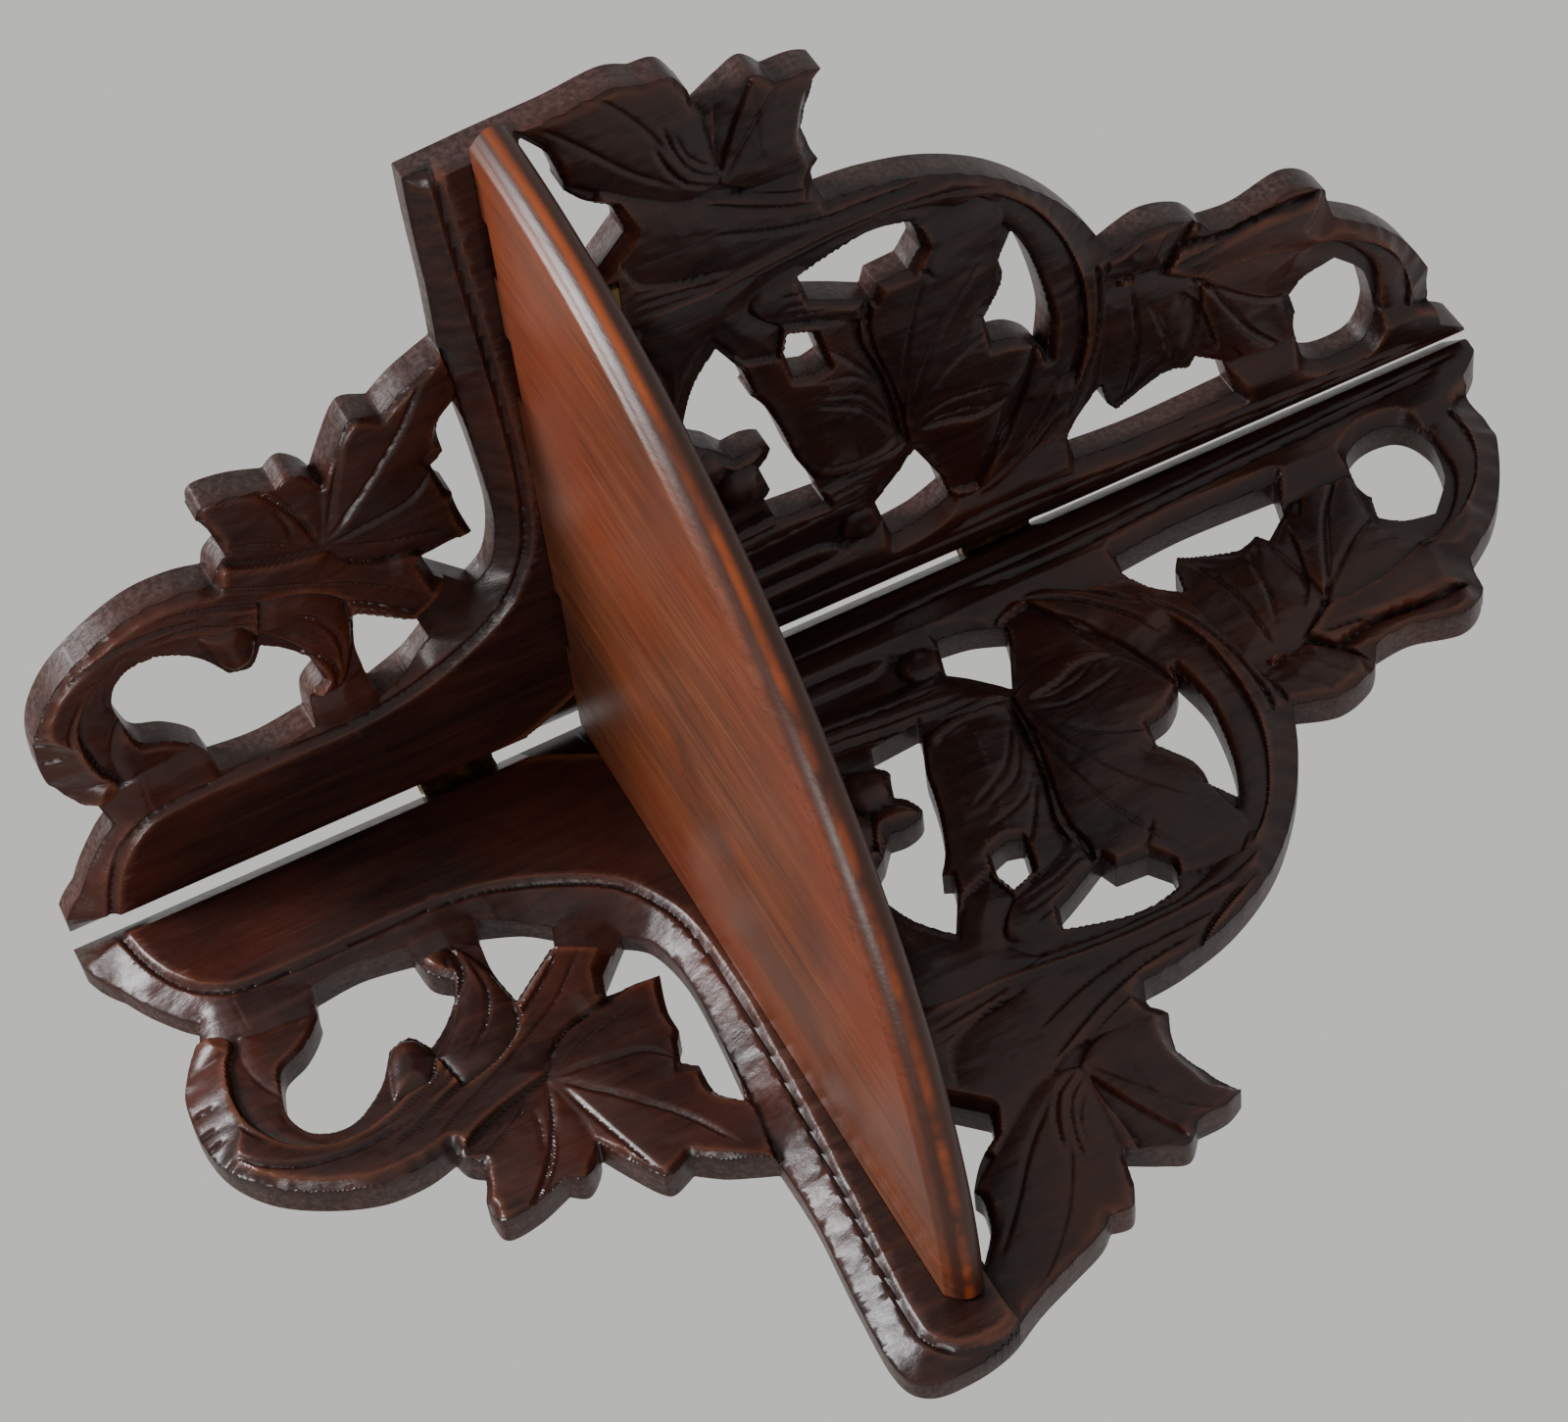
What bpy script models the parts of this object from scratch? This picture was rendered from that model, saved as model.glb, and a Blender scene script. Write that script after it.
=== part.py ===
# Folding carved corner shelf: two pierced panels hinged at the corner and a quarter-round shelf.
# Row frame, metres: the corner line of the two wall planes is the Z axis, z = 0 at the lower tip.
# Left panel: back on x = 0, runs along -Y, carved front faces +X.
# Right panel: back on y = 0, runs along +X, carved front faces -Y.
# Ornament is laid out in panel coordinates (s, z) in millimetres, s measured from the corner line.
import bpy
import bmesh
import math
from mathutils import Quaternion, Vector

MM = 0.001
T = 11.0            # board thickness
GAP = 0.3           # working gap between touching pieces
HEIGHT = 400.0

SHELF_Z = 139.0     # underside of the shelf
SHELF_T = 10.0      # shelf thickness
SHELF_R = 196.0     # radius of the lower front arris, about the inner corner
SHELF_CLEAR = 0.5   # shelf edge to the panel fronts
NOTCH_D = 3.2       # depth of the knuckle notches in the shelf's rear edge

LEAF_T = 1.2        # hinge leaf thickness
KNUCKLE_R = 2.0
PIN_R = 0.9
HINGE_L = 20.0      # hinge length
LEAF_W = 18.0       # leaf width from the pin axis
CORNER_HINGE_Z = (107.5, 263.0)
SHELF_HINGE_S = (52.0, 140.0)
OLD_NOTCH_S = 177.5     # an empty notch near the outer end of the shelf's rear edge
AXIS_OUT = KNUCKLE_R - LEAF_T       # pin axis stands this far outside the leaf's outer face

HEAD_R = 1.9        # screw head
SHANK_R = 0.9
SHANK_L = 4.4

HANGER_S, HANGER_Z = 58.0, 262.0    # hanger plate centre
HANGER_W, HANGER_H = 12.0, 34.0

for ob in list(bpy.data.objects):
    bpy.data.objects.remove(ob, do_unlink=True)


# ---------------------------------------------------------------- materials
def material(name, rgb, rough, metal=0.0):
    m = bpy.data.materials.new(name)
    m.use_nodes = True
    b = m.node_tree.nodes["Principled BSDF"]
    b.inputs["Base Color"].default_value = (*rgb, 1.0)
    b.inputs["Roughness"].default_value = rough
    b.inputs["Metallic"].default_value = metal
    return m


DARK = (0.075, 0.045, 0.036)
SHELFWOOD = (0.20, 0.095, 0.055)
BRASS = (0.42, 0.30, 0.13)
STEEL = (0.30, 0.29, 0.27)


# ---------------------------------------------------------------- small helpers
def smooth_loop(points, steps=3):
    """Closed Catmull-Rom curve. A point given with a third value is kept as a sharp corner."""
    n = len(points)
    out = []
    for i in range(n):
        p1, p2 = points[i], points[(i + 1) % n]
        p0 = p1 if len(p1) > 2 else points[i - 1]
        p3 = p2 if len(p2) > 2 else points[(i + 2) % n]
        length = math.hypot(p2[0] - p1[0], p2[1] - p1[1])
        k = max(1, min(steps, round(length / 6.0)))
        for j in range(k):
            t = j / k
            q = []
            for a in (0, 1):
                c0, c1, c2, c3 = p0[a], p1[a], p2[a], p3[a]
                q.append(0.5 * (2 * c1 + (c2 - c0) * t + (2 * c0 - 5 * c1 + 4 * c2 - c3) * t * t
                                + (3 * c1 - c0 - 3 * c2 + c3) * t ** 3))
            out.append(tuple(q))
    return out


def to_left(s, d, z):
    return Vector((d, -s, z)) * MM


def to_right(s, d, z):
    return Vector((s, -d, z)) * MM


def new_object(name, bm, mat=None):
    bmesh.ops.recalc_face_normals(bm, faces=bm.faces[:])
    me = bpy.data.meshes.new(name)
    bm.to_mesh(me)
    bm.free()
    ob = bpy.data.objects.new(name, me)
    bpy.context.scene.collection.objects.link(ob)
    if mat:
        me.materials.append(mat)
    return ob


def prism(bm, loop, place, d0, d1, inset=0.0, rise=0.0):
    """Extrude a loop of (s, z) from depth d0 to d1; inset and rise chamfer the front edge."""
    def ring(points, d):
        return [bm.verts.new(place(s, d, z)) for s, z in points]

    rings = [ring(loop, d0)]
    if inset > 0:
        rings.append(ring(loop, d1 - rise))
        rings.append(ring(offset_loop(loop, inset), d1))
    else:
        rings.append(ring(loop, d1))
    n = len(loop)
    for a, b in zip(rings, rings[1:]):
        for i in range(n):
            bm.faces.new((a[i], a[(i + 1) % n], b[(i + 1) % n], b[i]))
    bm.faces.new(rings[0])
    bm.faces.new(rings[-1])


def offset_loop(loop, dist):
    area = sum(a[0] * b[1] - b[0] * a[1] for a, b in zip(loop, loop[1:] + loop[:1]))
    sign = 1.0 if area > 0 else -1.0
    out = []
    n = len(loop)
    for i in range(n):
        a, b, c = loop[i - 1], loop[i], loop[(i + 1) % n]
        t1 = Vector((b[0] - a[0], b[1] - a[1])).normalized()
        t2 = Vector((c[0] - b[0], c[1] - b[1])).normalized()
        m = (t1 + t2).normalized()
        out.append((b[0] - m.y * dist * sign, b[1] + m.x * dist * sign))
    return out


def box(bm, lo, hi):
    vs = [bm.verts.new(Vector((x, y, z)) * MM) for x in (lo[0], hi[0]) for y in (lo[1], hi[1])
          for z in (lo[2], hi[2])]
    for f in ((0, 1, 3, 2), (4, 6, 7, 5), (0, 4, 5, 1), (2, 3, 7, 6), (0, 2, 6, 4), (1, 5, 7, 3)):
        bm.faces.new([vs[i] for i in f])


def cylinder(bm, centre, axis, r0, r1, length, seg):
    """Round bar from centre along axis, radius r0 at the start and r1 at the end, all in mm."""
    axis = Vector(axis).normalized()
    u = axis.orthogonal().normalized()
    v = axis.cross(u)
    rings = []
    for r, h in ((r0, 0.0), (r1, length)):
        rings.append([bm.verts.new((Vector(centre) + axis * h + (u * math.cos(a) + v * math.sin(a)) * r) * MM)
                      for a in (2 * math.pi * i / seg for i in range(seg))])
    for i in range(seg):
        j = (i + 1) % seg
        bm.faces.new((rings[0][i], rings[0][j], rings[1][j], rings[1][i]))
    bm.faces.new(rings[0])
    bm.faces.new(rings[1])


def boolean(ob, tools, operation):
    """Apply an exact boolean with several tool objects and drop the tools."""
    col = bpy.data.collections.new("tools")
    for t in tools:
        for c in list(t.users_collection):
            c.objects.unlink(t)
        col.objects.link(t)
        t.hide_render = True
        t.display_type = 'WIRE'
    bpy.context.scene.collection.children.link(col)
    m = ob.modifiers.new("cut", 'BOOLEAN')
    m.operation = operation
    m.solver = 'EXACT'
    if operation == 'INTERSECT':
        m.object = tools[0]
    else:
        m.operand_type = 'COLLECTION'
        m.collection = col
    bpy.context.view_layer.update()
    deps = bpy.context.evaluated_depsgraph_get()
    me = bpy.data.meshes.new_from_object(ob.evaluated_get(deps))
    old = ob.data
    ob.modifiers.clear()
    ob.data = me
    bpy.data.meshes.remove(old)
    for t in tools:
        bpy.data.objects.remove(t, do_unlink=True)
    bpy.data.collections.remove(col)


def tidy(ob, smooth_angle=35.0):
    bm = bmesh.new()
    bm.from_mesh(ob.data)
    bmesh.ops.remove_doubles(bm, verts=bm.verts[:], dist=0.00002)
    bmesh.ops.dissolve_degenerate(bm, edges=bm.edges[:], dist=0.00002)
    bmesh.ops.dissolve_limit(bm, angle_limit=math.radians(0.4), verts=bm.verts[:], edges=bm.edges[:])
    bmesh.ops.triangulate(bm, faces=bm.faces[:])
    bmesh.ops.recalc_face_normals(bm, faces=bm.faces[:])
    bm.to_mesh(ob.data)
    bm.free()
    ob.data.polygons.foreach_set("use_smooth", [True] * len(ob.data.polygons))
    ob.data.set_sharp_from_angle(angle=math.radians(smooth_angle))


# ---------------------------------------------------------------- the carved pattern
# Closed outlines in (s, z); a third value marks a sharp corner.
OUTLINE = [
    (0, 0, 1), (14, 0, 1), (26, 1.8), (38, 6.6), (48, 13), (53, 17.5, 1),
    (60, 11.5), (70, 7), (84, 5), (97, 7), (108, 14), (116, 25), (121, 37), (121.5, 48), (119.5, 56.2, 1),
    (124, 57.6), (127, 61, 1), (133, 58.4), (140, 57), (145, 58.6), (144.4, 67), (141, 76, 1),
    (143.6, 80), (140, 84.5), (135.5, 86.8, 1), (144, 91), (151, 95), (153, 98), (150.4, 104, 1),
    (155, 110), (158, 116), (160.5, 121.6, 1)]
ARM_ROUND = [(180, 121.8), (205, 119.8), (224, 119.4), (231.4, 124), (232.6, 134), (230.6, 145), (225, 156),
             (221, 166), (217, 176), (213.4, 180.4, 1)]
ARM_CUT = [(180, 121.8), (200, 121.4), (213.6, 121.4, 1), (215, 140), (216, 158), (217.6, 172), (215, 179.4, 1)]
CREST = [
    (214, 186), (207, 190), (198.4, 192.2, 1), (203, 200), (205.4, 206), (200.6, 211, 1), (200, 220),
    (194.6, 227.2), (188, 224), (174.5, 218.6, 1), (164, 222.8), (159.6, 219.4, 1),
    (158.4, 232), (154, 248), (145, 264), (132, 277.4), (118, 287.4), (103.6, 294.6, 1),
    (107.4, 306), (104, 317), (97.2, 322.6, 1), (96.4, 333), (99.8, 347), (94, 356), (83.8, 358.8, 1),
    (75, 371), (62, 381.6), (46, 389.2), (29.6, 390.2, 1), (21, 398), (13, HEIGHT, 1), (0, HEIGHT, 1)]

HOLES = [
    [(59, 45.6, 1), (67, 43.6), (74, 37), (78, 29.6), (85, 27.6), (92.6, 31), (95.2, 40), (89, 50),
     (79.6, 56.4, 1), (78.6, 62), (84.4, 65.4, 1), (80, 71), (73.6, 76.4, 1), (69, 72), (60, 71, 1), (57.8, 58)],
    [(60.6, 88.4, 1), (65, 98), (70.4, 104.4, 1), (76, 97), (82, 89, 1), (71, 87.6)],
    [(81.6, 118.2, 1), (87, 123.6), (100, 126.4), (118, 125.8), (136, 124, 1), (130.6, 119), (121.4, 119, 1),
     (118.6, 115.6, 1), (113, 119), (103, 119.4), (92.4, 122.8, 1), (91.8, 108.4, 1)],
    [(33, 359), (34.6, 367), (41, 370.8), (50, 370.4), (60, 361.4, 1), (58.4, 352.6), (54.2, 347.6, 1),
     (49.6, 350.8), (45, 349), (37.6, 350)],
    [(36, 329, 1), (40.6, 327.6, 1), (46.6, 319.6, 1), (43.4, 317.6, 1), (45.4, 311), (42, 301.6),
     (39.4, 296.4, 1), (44.6, 293), (50.6, 292, 1), (44.6, 285.4), (36.6, 281.6, 1), (35, 302)],
    [(78, 275.2, 1), (92, 276.8), (106, 274.4), (116, 270, 1), (108.6, 265.8, 1), (100.6, 266.2), (90.8, 260.6, 1),
     (89, 267), (84, 272.6)],
    [(43.4, 245.2, 1), (56.6, 238.8, 1), (50, 233), (43.8, 226.6, 1), (38.4, 228.2, 1), (39.8, 237)],
    [(126.6, 239.6, 1), (132.6, 243.8, 1), (134.6, 231), (130, 213, 1), (126, 221), (121.2, 229.6, 1),
     (126, 231.2, 1)],
    [(105.2, 212, 1), (106.4, 216, 1), (110.6, 215, 1), (113, 208.6, 1), (107, 207, 1)],
    [(60.4, 211.2, 1), (72, 206.6), (86, 203), (96, 198.6), (105, 191.4, 1), (107.4, 196, 1), (118, 190, 1),
     (109, 183), (98, 179, 1), (93.6, 186), (88, 195.2), (78, 200), (70.4, 197.8, 1), (61.6, 199.4, 1)],
    [(164.4, 160, 1), (174.6, 170.2, 1), (180, 163), (190, 155.6, 1), (196, 157.4), (204.6, 151.2, 1),
     (190, 150.6), (170, 152.4, 1)],
]

# Raised work: stems as (centre line points, half widths), leaves and berries as small outlines.
FIELD = 8.4         # depth of the carved ground
STEM = 11.0
LEAF = 9.9
BEVEL = 1.6


def stroke(points, widths, steps=4):
    """Outline of a tapering band along a smooth centre line."""
    line = []
    n = len(points)
    for i in range(n - 1):
        p0, p1, p2, p3 = points[max(i - 1, 0)], points[i], points[i + 1], points[min(i + 2, n - 1)]
        for j in range(steps):
            t = j / steps
            q = [0.5 * (2 * p1[a] + (p2[a] - p0[a]) * t + (2 * p0[a] - 5 * p1[a] + 4 * p2[a] - p3[a]) * t * t
                        + (3 * p1[a] - p0[a] - 3 * p2[a] + p3[a]) * t ** 3) for a in (0, 1)]
            line.append((q[0], q[1], widths[i] + (widths[i + 1] - widths[i]) * t))
    line.append((*points[-1], widths[-1]))
    one, two = [], []
    for i, (s, z, w) in enumerate(line):
        a, b = line[max(i - 1, 0)], line[min(i + 1, len(line) - 1)]
        t = Vector((b[0] - a[0], b[1] - a[1])).normalized()
        one.append((s - t.y * w, z + t.x * w))
        two.append((s + t.y * w, z - t.x * w))
    return one + two[::-1]


RAISED_STEMS = [
    ([(71, 108), (83, 97), (95, 80), (105, 63), (109, 47), (107, 31), (98, 19), (85, 13.4), (72, 14)],
     [3.2, 4.4, 5.4, 7.0, 8.2, 8.4, 7.4, 6.0, 2.2]),
    ([(31, 262), (43, 275), (62, 284), (84, 287.4), (106, 283), (127, 270), (142, 249), (149, 227), (152, 205),
      (158, 186), (170, 171)],
     [2.0, 3.6, 4.6, 5.2, 5.4, 5.6, 6.2, 6.4, 6.0, 4.4, 1.8]),
    ([(30, 386), (46, 381), (62, 373), (74, 360), (82, 342), (84, 322), (78, 304)],
     [1.8, 4.0, 5.2, 5.8, 5.6, 4.4, 2.0]),
    ([(50, 158), (44, 180), (45, 202), (51, 220), (57, 233)], [4.6, 4.6, 4.2, 3.4, 1.6]),
]
RAISED_LEAVES = [
    [(95, 106, 1), (95, 119, 1), (104, 116), (115, 112, 1), (124, 116), (138, 120), (152, 117, 1), (146, 106, 1),
     (149, 99, 1), (134, 90, 1), (138, 80, 1), (141, 61, 1), (128, 64, 1), (119, 60, 1), (111, 72), (107, 84)],
    [(63, 271), (82, 268), (90, 257, 1), (108, 263), (128, 262, 1), (126, 246), (120, 236, 1), (100, 236),
     (80, 240), (62, 241), (56, 256)],
    [(60, 234), (78, 233), (96, 228), (112, 218), (118, 205, 1), (104, 196, 1), (90, 205), (74, 210), (61, 214),
     (58, 224)],
    [(30, 345), (42, 343), (56, 345), (68, 350), (74, 338), (72, 318), (64, 302), (44, 296, 1), (47, 310),
     (52, 322, 1), (44, 330), (34, 335)],
    [(164, 218), (176, 214), (196, 222, 1), (196, 208, 1), (200, 202), (192, 193, 1), (210, 184, 1), (214, 168),
     (210, 154, 1), (196, 153, 1), (183, 164), (172, 178), (163, 196)],
]
BERRIES = [(80, 191, 7.0), (68, 188, 6.2), (87, 179, 6.4), (74, 176, 6.6), (62, 175, 5.4), (82, 166, 6.2),
           (69, 163, 6.0), (36, 223, 5.0)]


# how far the sawn edges facing away from the corner stand back from the pattern line, (s, z)
SET_BACK = {"left": (-12.3, 2.8), "right": (-8.25, 2.4)}


def untangle(loop, reach=30):
    """Drops the small loops where a moved line crosses itself."""
    loop = [tuple(p[:2]) for p in loop]
    i = 0
    while i < len(loop):
        n = len(loop)
        a, b = loop[i], loop[(i + 1) % n]
        for k in range(min(reach, n - 3), 1, -1):
            c, d = loop[(i + k) % n], loop[(i + k + 1) % n]
            r, s = (b[0] - a[0], b[1] - a[1]), (d[0] - c[0], d[1] - c[1])
            den = r[0] * s[1] - r[1] * s[0]
            if abs(den) < 1e-12:
                continue
            t = ((c[0] - a[0]) * s[1] - (c[1] - a[1]) * s[0]) / den
            u = ((c[0] - a[0]) * r[1] - (c[1] - a[1]) * r[0]) / den
            if 0 <= t <= 1 and 0 <= u <= 1:
                cross = (a[0] + t * r[0], a[1] + t * r[1])
                gone = {(i + m) % n for m in range(1, k + 1)}
                kept = [p for m, p in enumerate(loop) if m not in gone]
                at = i + 1 - sum(1 for m in gone if m <= i)
                loop = kept[:at] + [cross] + kept[at:]
                break
        i += 1
    return loop


def set_back(loop, side, hole):
    """Moves a pattern line to the sawn edge: fully where it faces away from the corner, a third elsewhere."""
    n = len(loop)
    area = sum(a[0] * b[1] - b[0] * a[1] for a, b in zip(loop, loop[1:] + loop[:1]))
    turn = (1.0 if area > 0 else -1.0) * (-1.0 if hole else 1.0)
    ds, dz = SET_BACK[side]
    length = math.hypot(ds, dz)
    out = []
    for i, (s, z) in enumerate(loop):
        a, b = loop[i - 1], loop[(i + 1) % n]
        ts, tz = b[0] - a[0], b[1] - a[1]
        t = math.hypot(ts, tz) or 1.0
        facing = -turn * (tz * ds - ts * dz) / (t * length)
        x = min(1.0, max(0.0, (facing + 0.25) / 0.5))
        w = 0.3 + 0.7 * x * x * (3 - 2 * x)
        w *= min(1.0, max(0.0, (s - 8.0) / 26.0))
        out.append((s + ds * w, z + dz * w))
    return untangle(out)


def mitre_edge(side, z):
    """Distance the mitred edge stands back from the corner diagonal, in s."""
    if side == "left":
        table = [(-5, 3.1), (255, 3.1), (275, 2.3), (405, 2.3)]
    else:
        table = [(-5, 3.1), (97, 3.1), (140, 2.5), (195, 0.8), (253, 0.8), (275, 0.3), (405, 0.3)]
    for (z0, e0), (z1, e1) in zip(table, table[1:]):
        if z <= z1:
            return e0 + (e1 - e0) * (z - z0) / (z1 - z0)
    return table[-1][1]


def mitre_cutter(side, place):
    """Solid that removes everything on the corner side of the mitre."""
    bm = bmesh.new()
    levels = [-5, 255, 275, 405] if side == "left" else [-5, 97, 140, 195, 253, 275, 405]
    rings = []
    for z in levels:
        e = mitre_edge(side, z)
        rings.append([bm.verts.new(place(s, d, z)) for s, d in
                      ((e - 3, -3), (e + T + 6, T + 6), (-30, T + 6), (-30, -3))])
    for a, b in zip(rings, rings[1:]):
        for i in range(4):
            bm.faces.new((a[i], a[(i + 1) % 4], b[(i + 1) % 4], b[i]))
    bm.faces.new(rings[0])
    bm.faces.new(rings[-1])
    return new_object("mitre", bm)


def screw_holes_hinge(zc):
    """(s, z) of the screws of one corner hinge leaf."""
    return [(10.2, zc + 5.6), (14.0, zc - 5.6)]


CORNER_SCREWS = [p for zc in CORNER_HINGE_Z for p in screw_holes_hinge(zc)]
HANGER_SCREWS = [(HANGER_S, HANGER_Z - 12.5), (HANGER_S, HANGER_Z + 12.5)]


def make_panel(name, side, place, arm, mat):
    bm = bmesh.new()
    edge = set_back(smooth_loop(OUTLINE + arm + CREST), side, False)
    blank = [(-3, -3), (240, -3), (240, HEIGHT + 4), (-3, HEIGHT + 4)]
    prism(bm, blank, place, 0.0, FIELD, 0.0)
    panel = new_object(name, bm, mat)

    # plain board and arm stand at full thickness with a bevelled border
    reach = 232.0 if side == "right" else 215.0
    border = [(4, 14.6, 1), (26, 17), (40, 24.4), (51, 30), (52.4, 60), (51.4, 96), (57, 112), (66, 124),
              (80, 131), (102, 132.8), (150, 130.4), (reach - 18, 127.4), (reach - 6, 130.4), (reach - 4, 139),
              (reach - 8, 147.6, 1), (160, 149.6), (100, 150.4), (40, 150.4, 1), (38, 262), (33.4, 284),
              (33.4, 330), (29, 372), (22, 392, 1), (4, 397, 1)]
    bm = bmesh.new()
    prism(bm, smooth_loop(border), place, FIELD - 1.0, T, 1.4, 1.4)
    parts = [new_object("board", bm)]
    for points, widths in RAISED_STEMS:
        bm = bmesh.new()
        prism(bm, stroke(points, widths, 3), place, FIELD - 1.0, STEM - 0.05, 0.8, 0.9)
        parts.append(new_object("stem", bm))
    for leaf in RAISED_LEAVES:
        bm = bmesh.new()
        prism(bm, smooth_loop(leaf, 2), place, FIELD - 1.1, LEAF)
        parts.append(new_object("leaf", bm))
    for k, (s, z, r) in enumerate(BERRIES):
        bm = bmesh.new()
        loop = [(s + r * math.cos(a), z + r * math.sin(a)) for a in
                (2 * math.pi * (i + 0.37 * k) / 10 for i in range(10))]
        top = LEAF - 0.35 + 0.13 * (k % 4)
        prism(bm, loop, place, FIELD - 1.2, top, r * 0.36, 0.9)
        parts.append(new_object("berry", bm))
    if side == "left":
        # flat seats that bring the ground up to the shelf hinges
        seat = SHELF_Z + SHELF_T + AXIS_OUT
        for sc in SHELF_HINGE_S:
            bm = bmesh.new()
            lo, hi = sc - HINGE_L / 2 + 0.2, sc + HINGE_L / 2 - 0.2
            prism(bm, [(lo, seat - 0.6), (hi, seat - 0.6), (hi, seat + LEAF_W - 0.2), (lo, seat + LEAF_W - 0.2)],
                  place, FIELD - 1.3, T - LEAF_T + 0.4)
            parts.append(new_object("hinge_seat", bm))
    boolean(panel, parts, 'UNION')
    bm = bmesh.new()
    prism(bm, edge, place, -2.0, T + 2.0, 0.0)
    boolean(panel, [new_object("sawn_edge", bm)], 'INTERSECT')
    tools = []
    for hole in HOLES:
        bm = bmesh.new()
        prism(bm, set_back(smooth_loop(hole, 2), side, True), place, -2.0, T + 2.0)
        tools.append(new_object("pierce", bm))
    boolean(panel, tools, 'DIFFERENCE')

    # mitred edge, hinge and hanger mortises, screw pilots
    cuts = [mitre_cutter(side, place)]
    for zc in CORNER_HINGE_Z:
        bm = bmesh.new()
        prism(bm, [(-6, zc - HINGE_L / 2 - GAP), (LEAF_W - AXIS_OUT + GAP, zc - HINGE_L / 2 - GAP),
                   (LEAF_W - AXIS_OUT + GAP, zc + HINGE_L / 2 + GAP), (-6, zc + HINGE_L / 2 + GAP)],
              place, -3.0, LEAF_T + GAP)
        cuts.append(new_object("mortise", bm))
    bm = bmesh.new()
    w, h = HANGER_W / 2 + GAP, HANGER_H / 2 + GAP
    prism(bm, [(HANGER_S - w, HANGER_Z - h), (HANGER_S + w, HANGER_Z - h),
               (HANGER_S + w, HANGER_Z + h), (HANGER_S - w, HANGER_Z + h)], place, -3.0, LEAF_T + GAP)
    cuts.append(new_object("hanger_mortise", bm))
    bm = bmesh.new()
    prism(bm, [(HANGER_S - 3.8, HANGER_Z - 7), (HANGER_S + 3.8, HANGER_Z - 7), (HANGER_S + 3.8, HANGER_Z + 8),
               (HANGER_S - 3.8, HANGER_Z + 8)], place, 0.5, LEAF_T + GAP + 3.0)
    cuts.append(new_object("nail_head_pocket", bm))
    for s, z in CORNER_SCREWS + HANGER_SCREWS:
        cuts.append(pilot(place, s, z, 0.0, 1.0))
    if side == "left":
        # front mortises and pilots for the shelf hinges, with knuckle room
        z_axis = SHELF_Z + SHELF_T + AXIS_OUT
        for sc in SHELF_HINGE_S:
            bm = bmesh.new()
            lo, hi = sc - HINGE_L / 2 - GAP, sc + HINGE_L / 2 + GAP
            prism(bm, [(lo, z_axis - KNUCKLE_R - GAP), (hi, z_axis - KNUCKLE_R - GAP),
                       (hi, z_axis + LEAF_W + GAP), (lo, z_axis + LEAF_W + GAP)],
                  place, T - LEAF_T - GAP, T + 4.0)
            cuts.append(new_object("shelf_mortise", bm))
            for s, z in shelf_panel_screws(sc):
                cuts.append(pilot(place, s, z, T, -1.0))
    boolean(panel, cuts, 'DIFFERENCE')
    tidy(panel)
    return panel


def shelf_panel_screws(sc):
    z_axis = SHELF_Z + SHELF_T + AXIS_OUT
    return [(sc - 5.2, z_axis + 7.0), (sc + 5.2, z_axis + 11.4)]


def shelf_board_screws(sc):
    x_axis = T + SHELF_CLEAR + AXIS_OUT
    return [(sc - 5.2, x_axis + 7.0), (sc + 5.2, x_axis + 11.4)]


def pilot(place, s, z, face, direction):
    """Pilot hole for one screw, sunk from the face plane along the depth axis."""
    bm = bmesh.new()
    p0 = place(s, face - direction * 2.0, z) / MM
    p1 = place(s, face + direction * (LEAF_T + SHANK_L + GAP), z) / MM
    cylinder(bm, p0, p1 - p0, SHANK_R + GAP, SHANK_R + GAP, (p1 - p0).length, 8)
    return new_object("pilot", bm)


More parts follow.
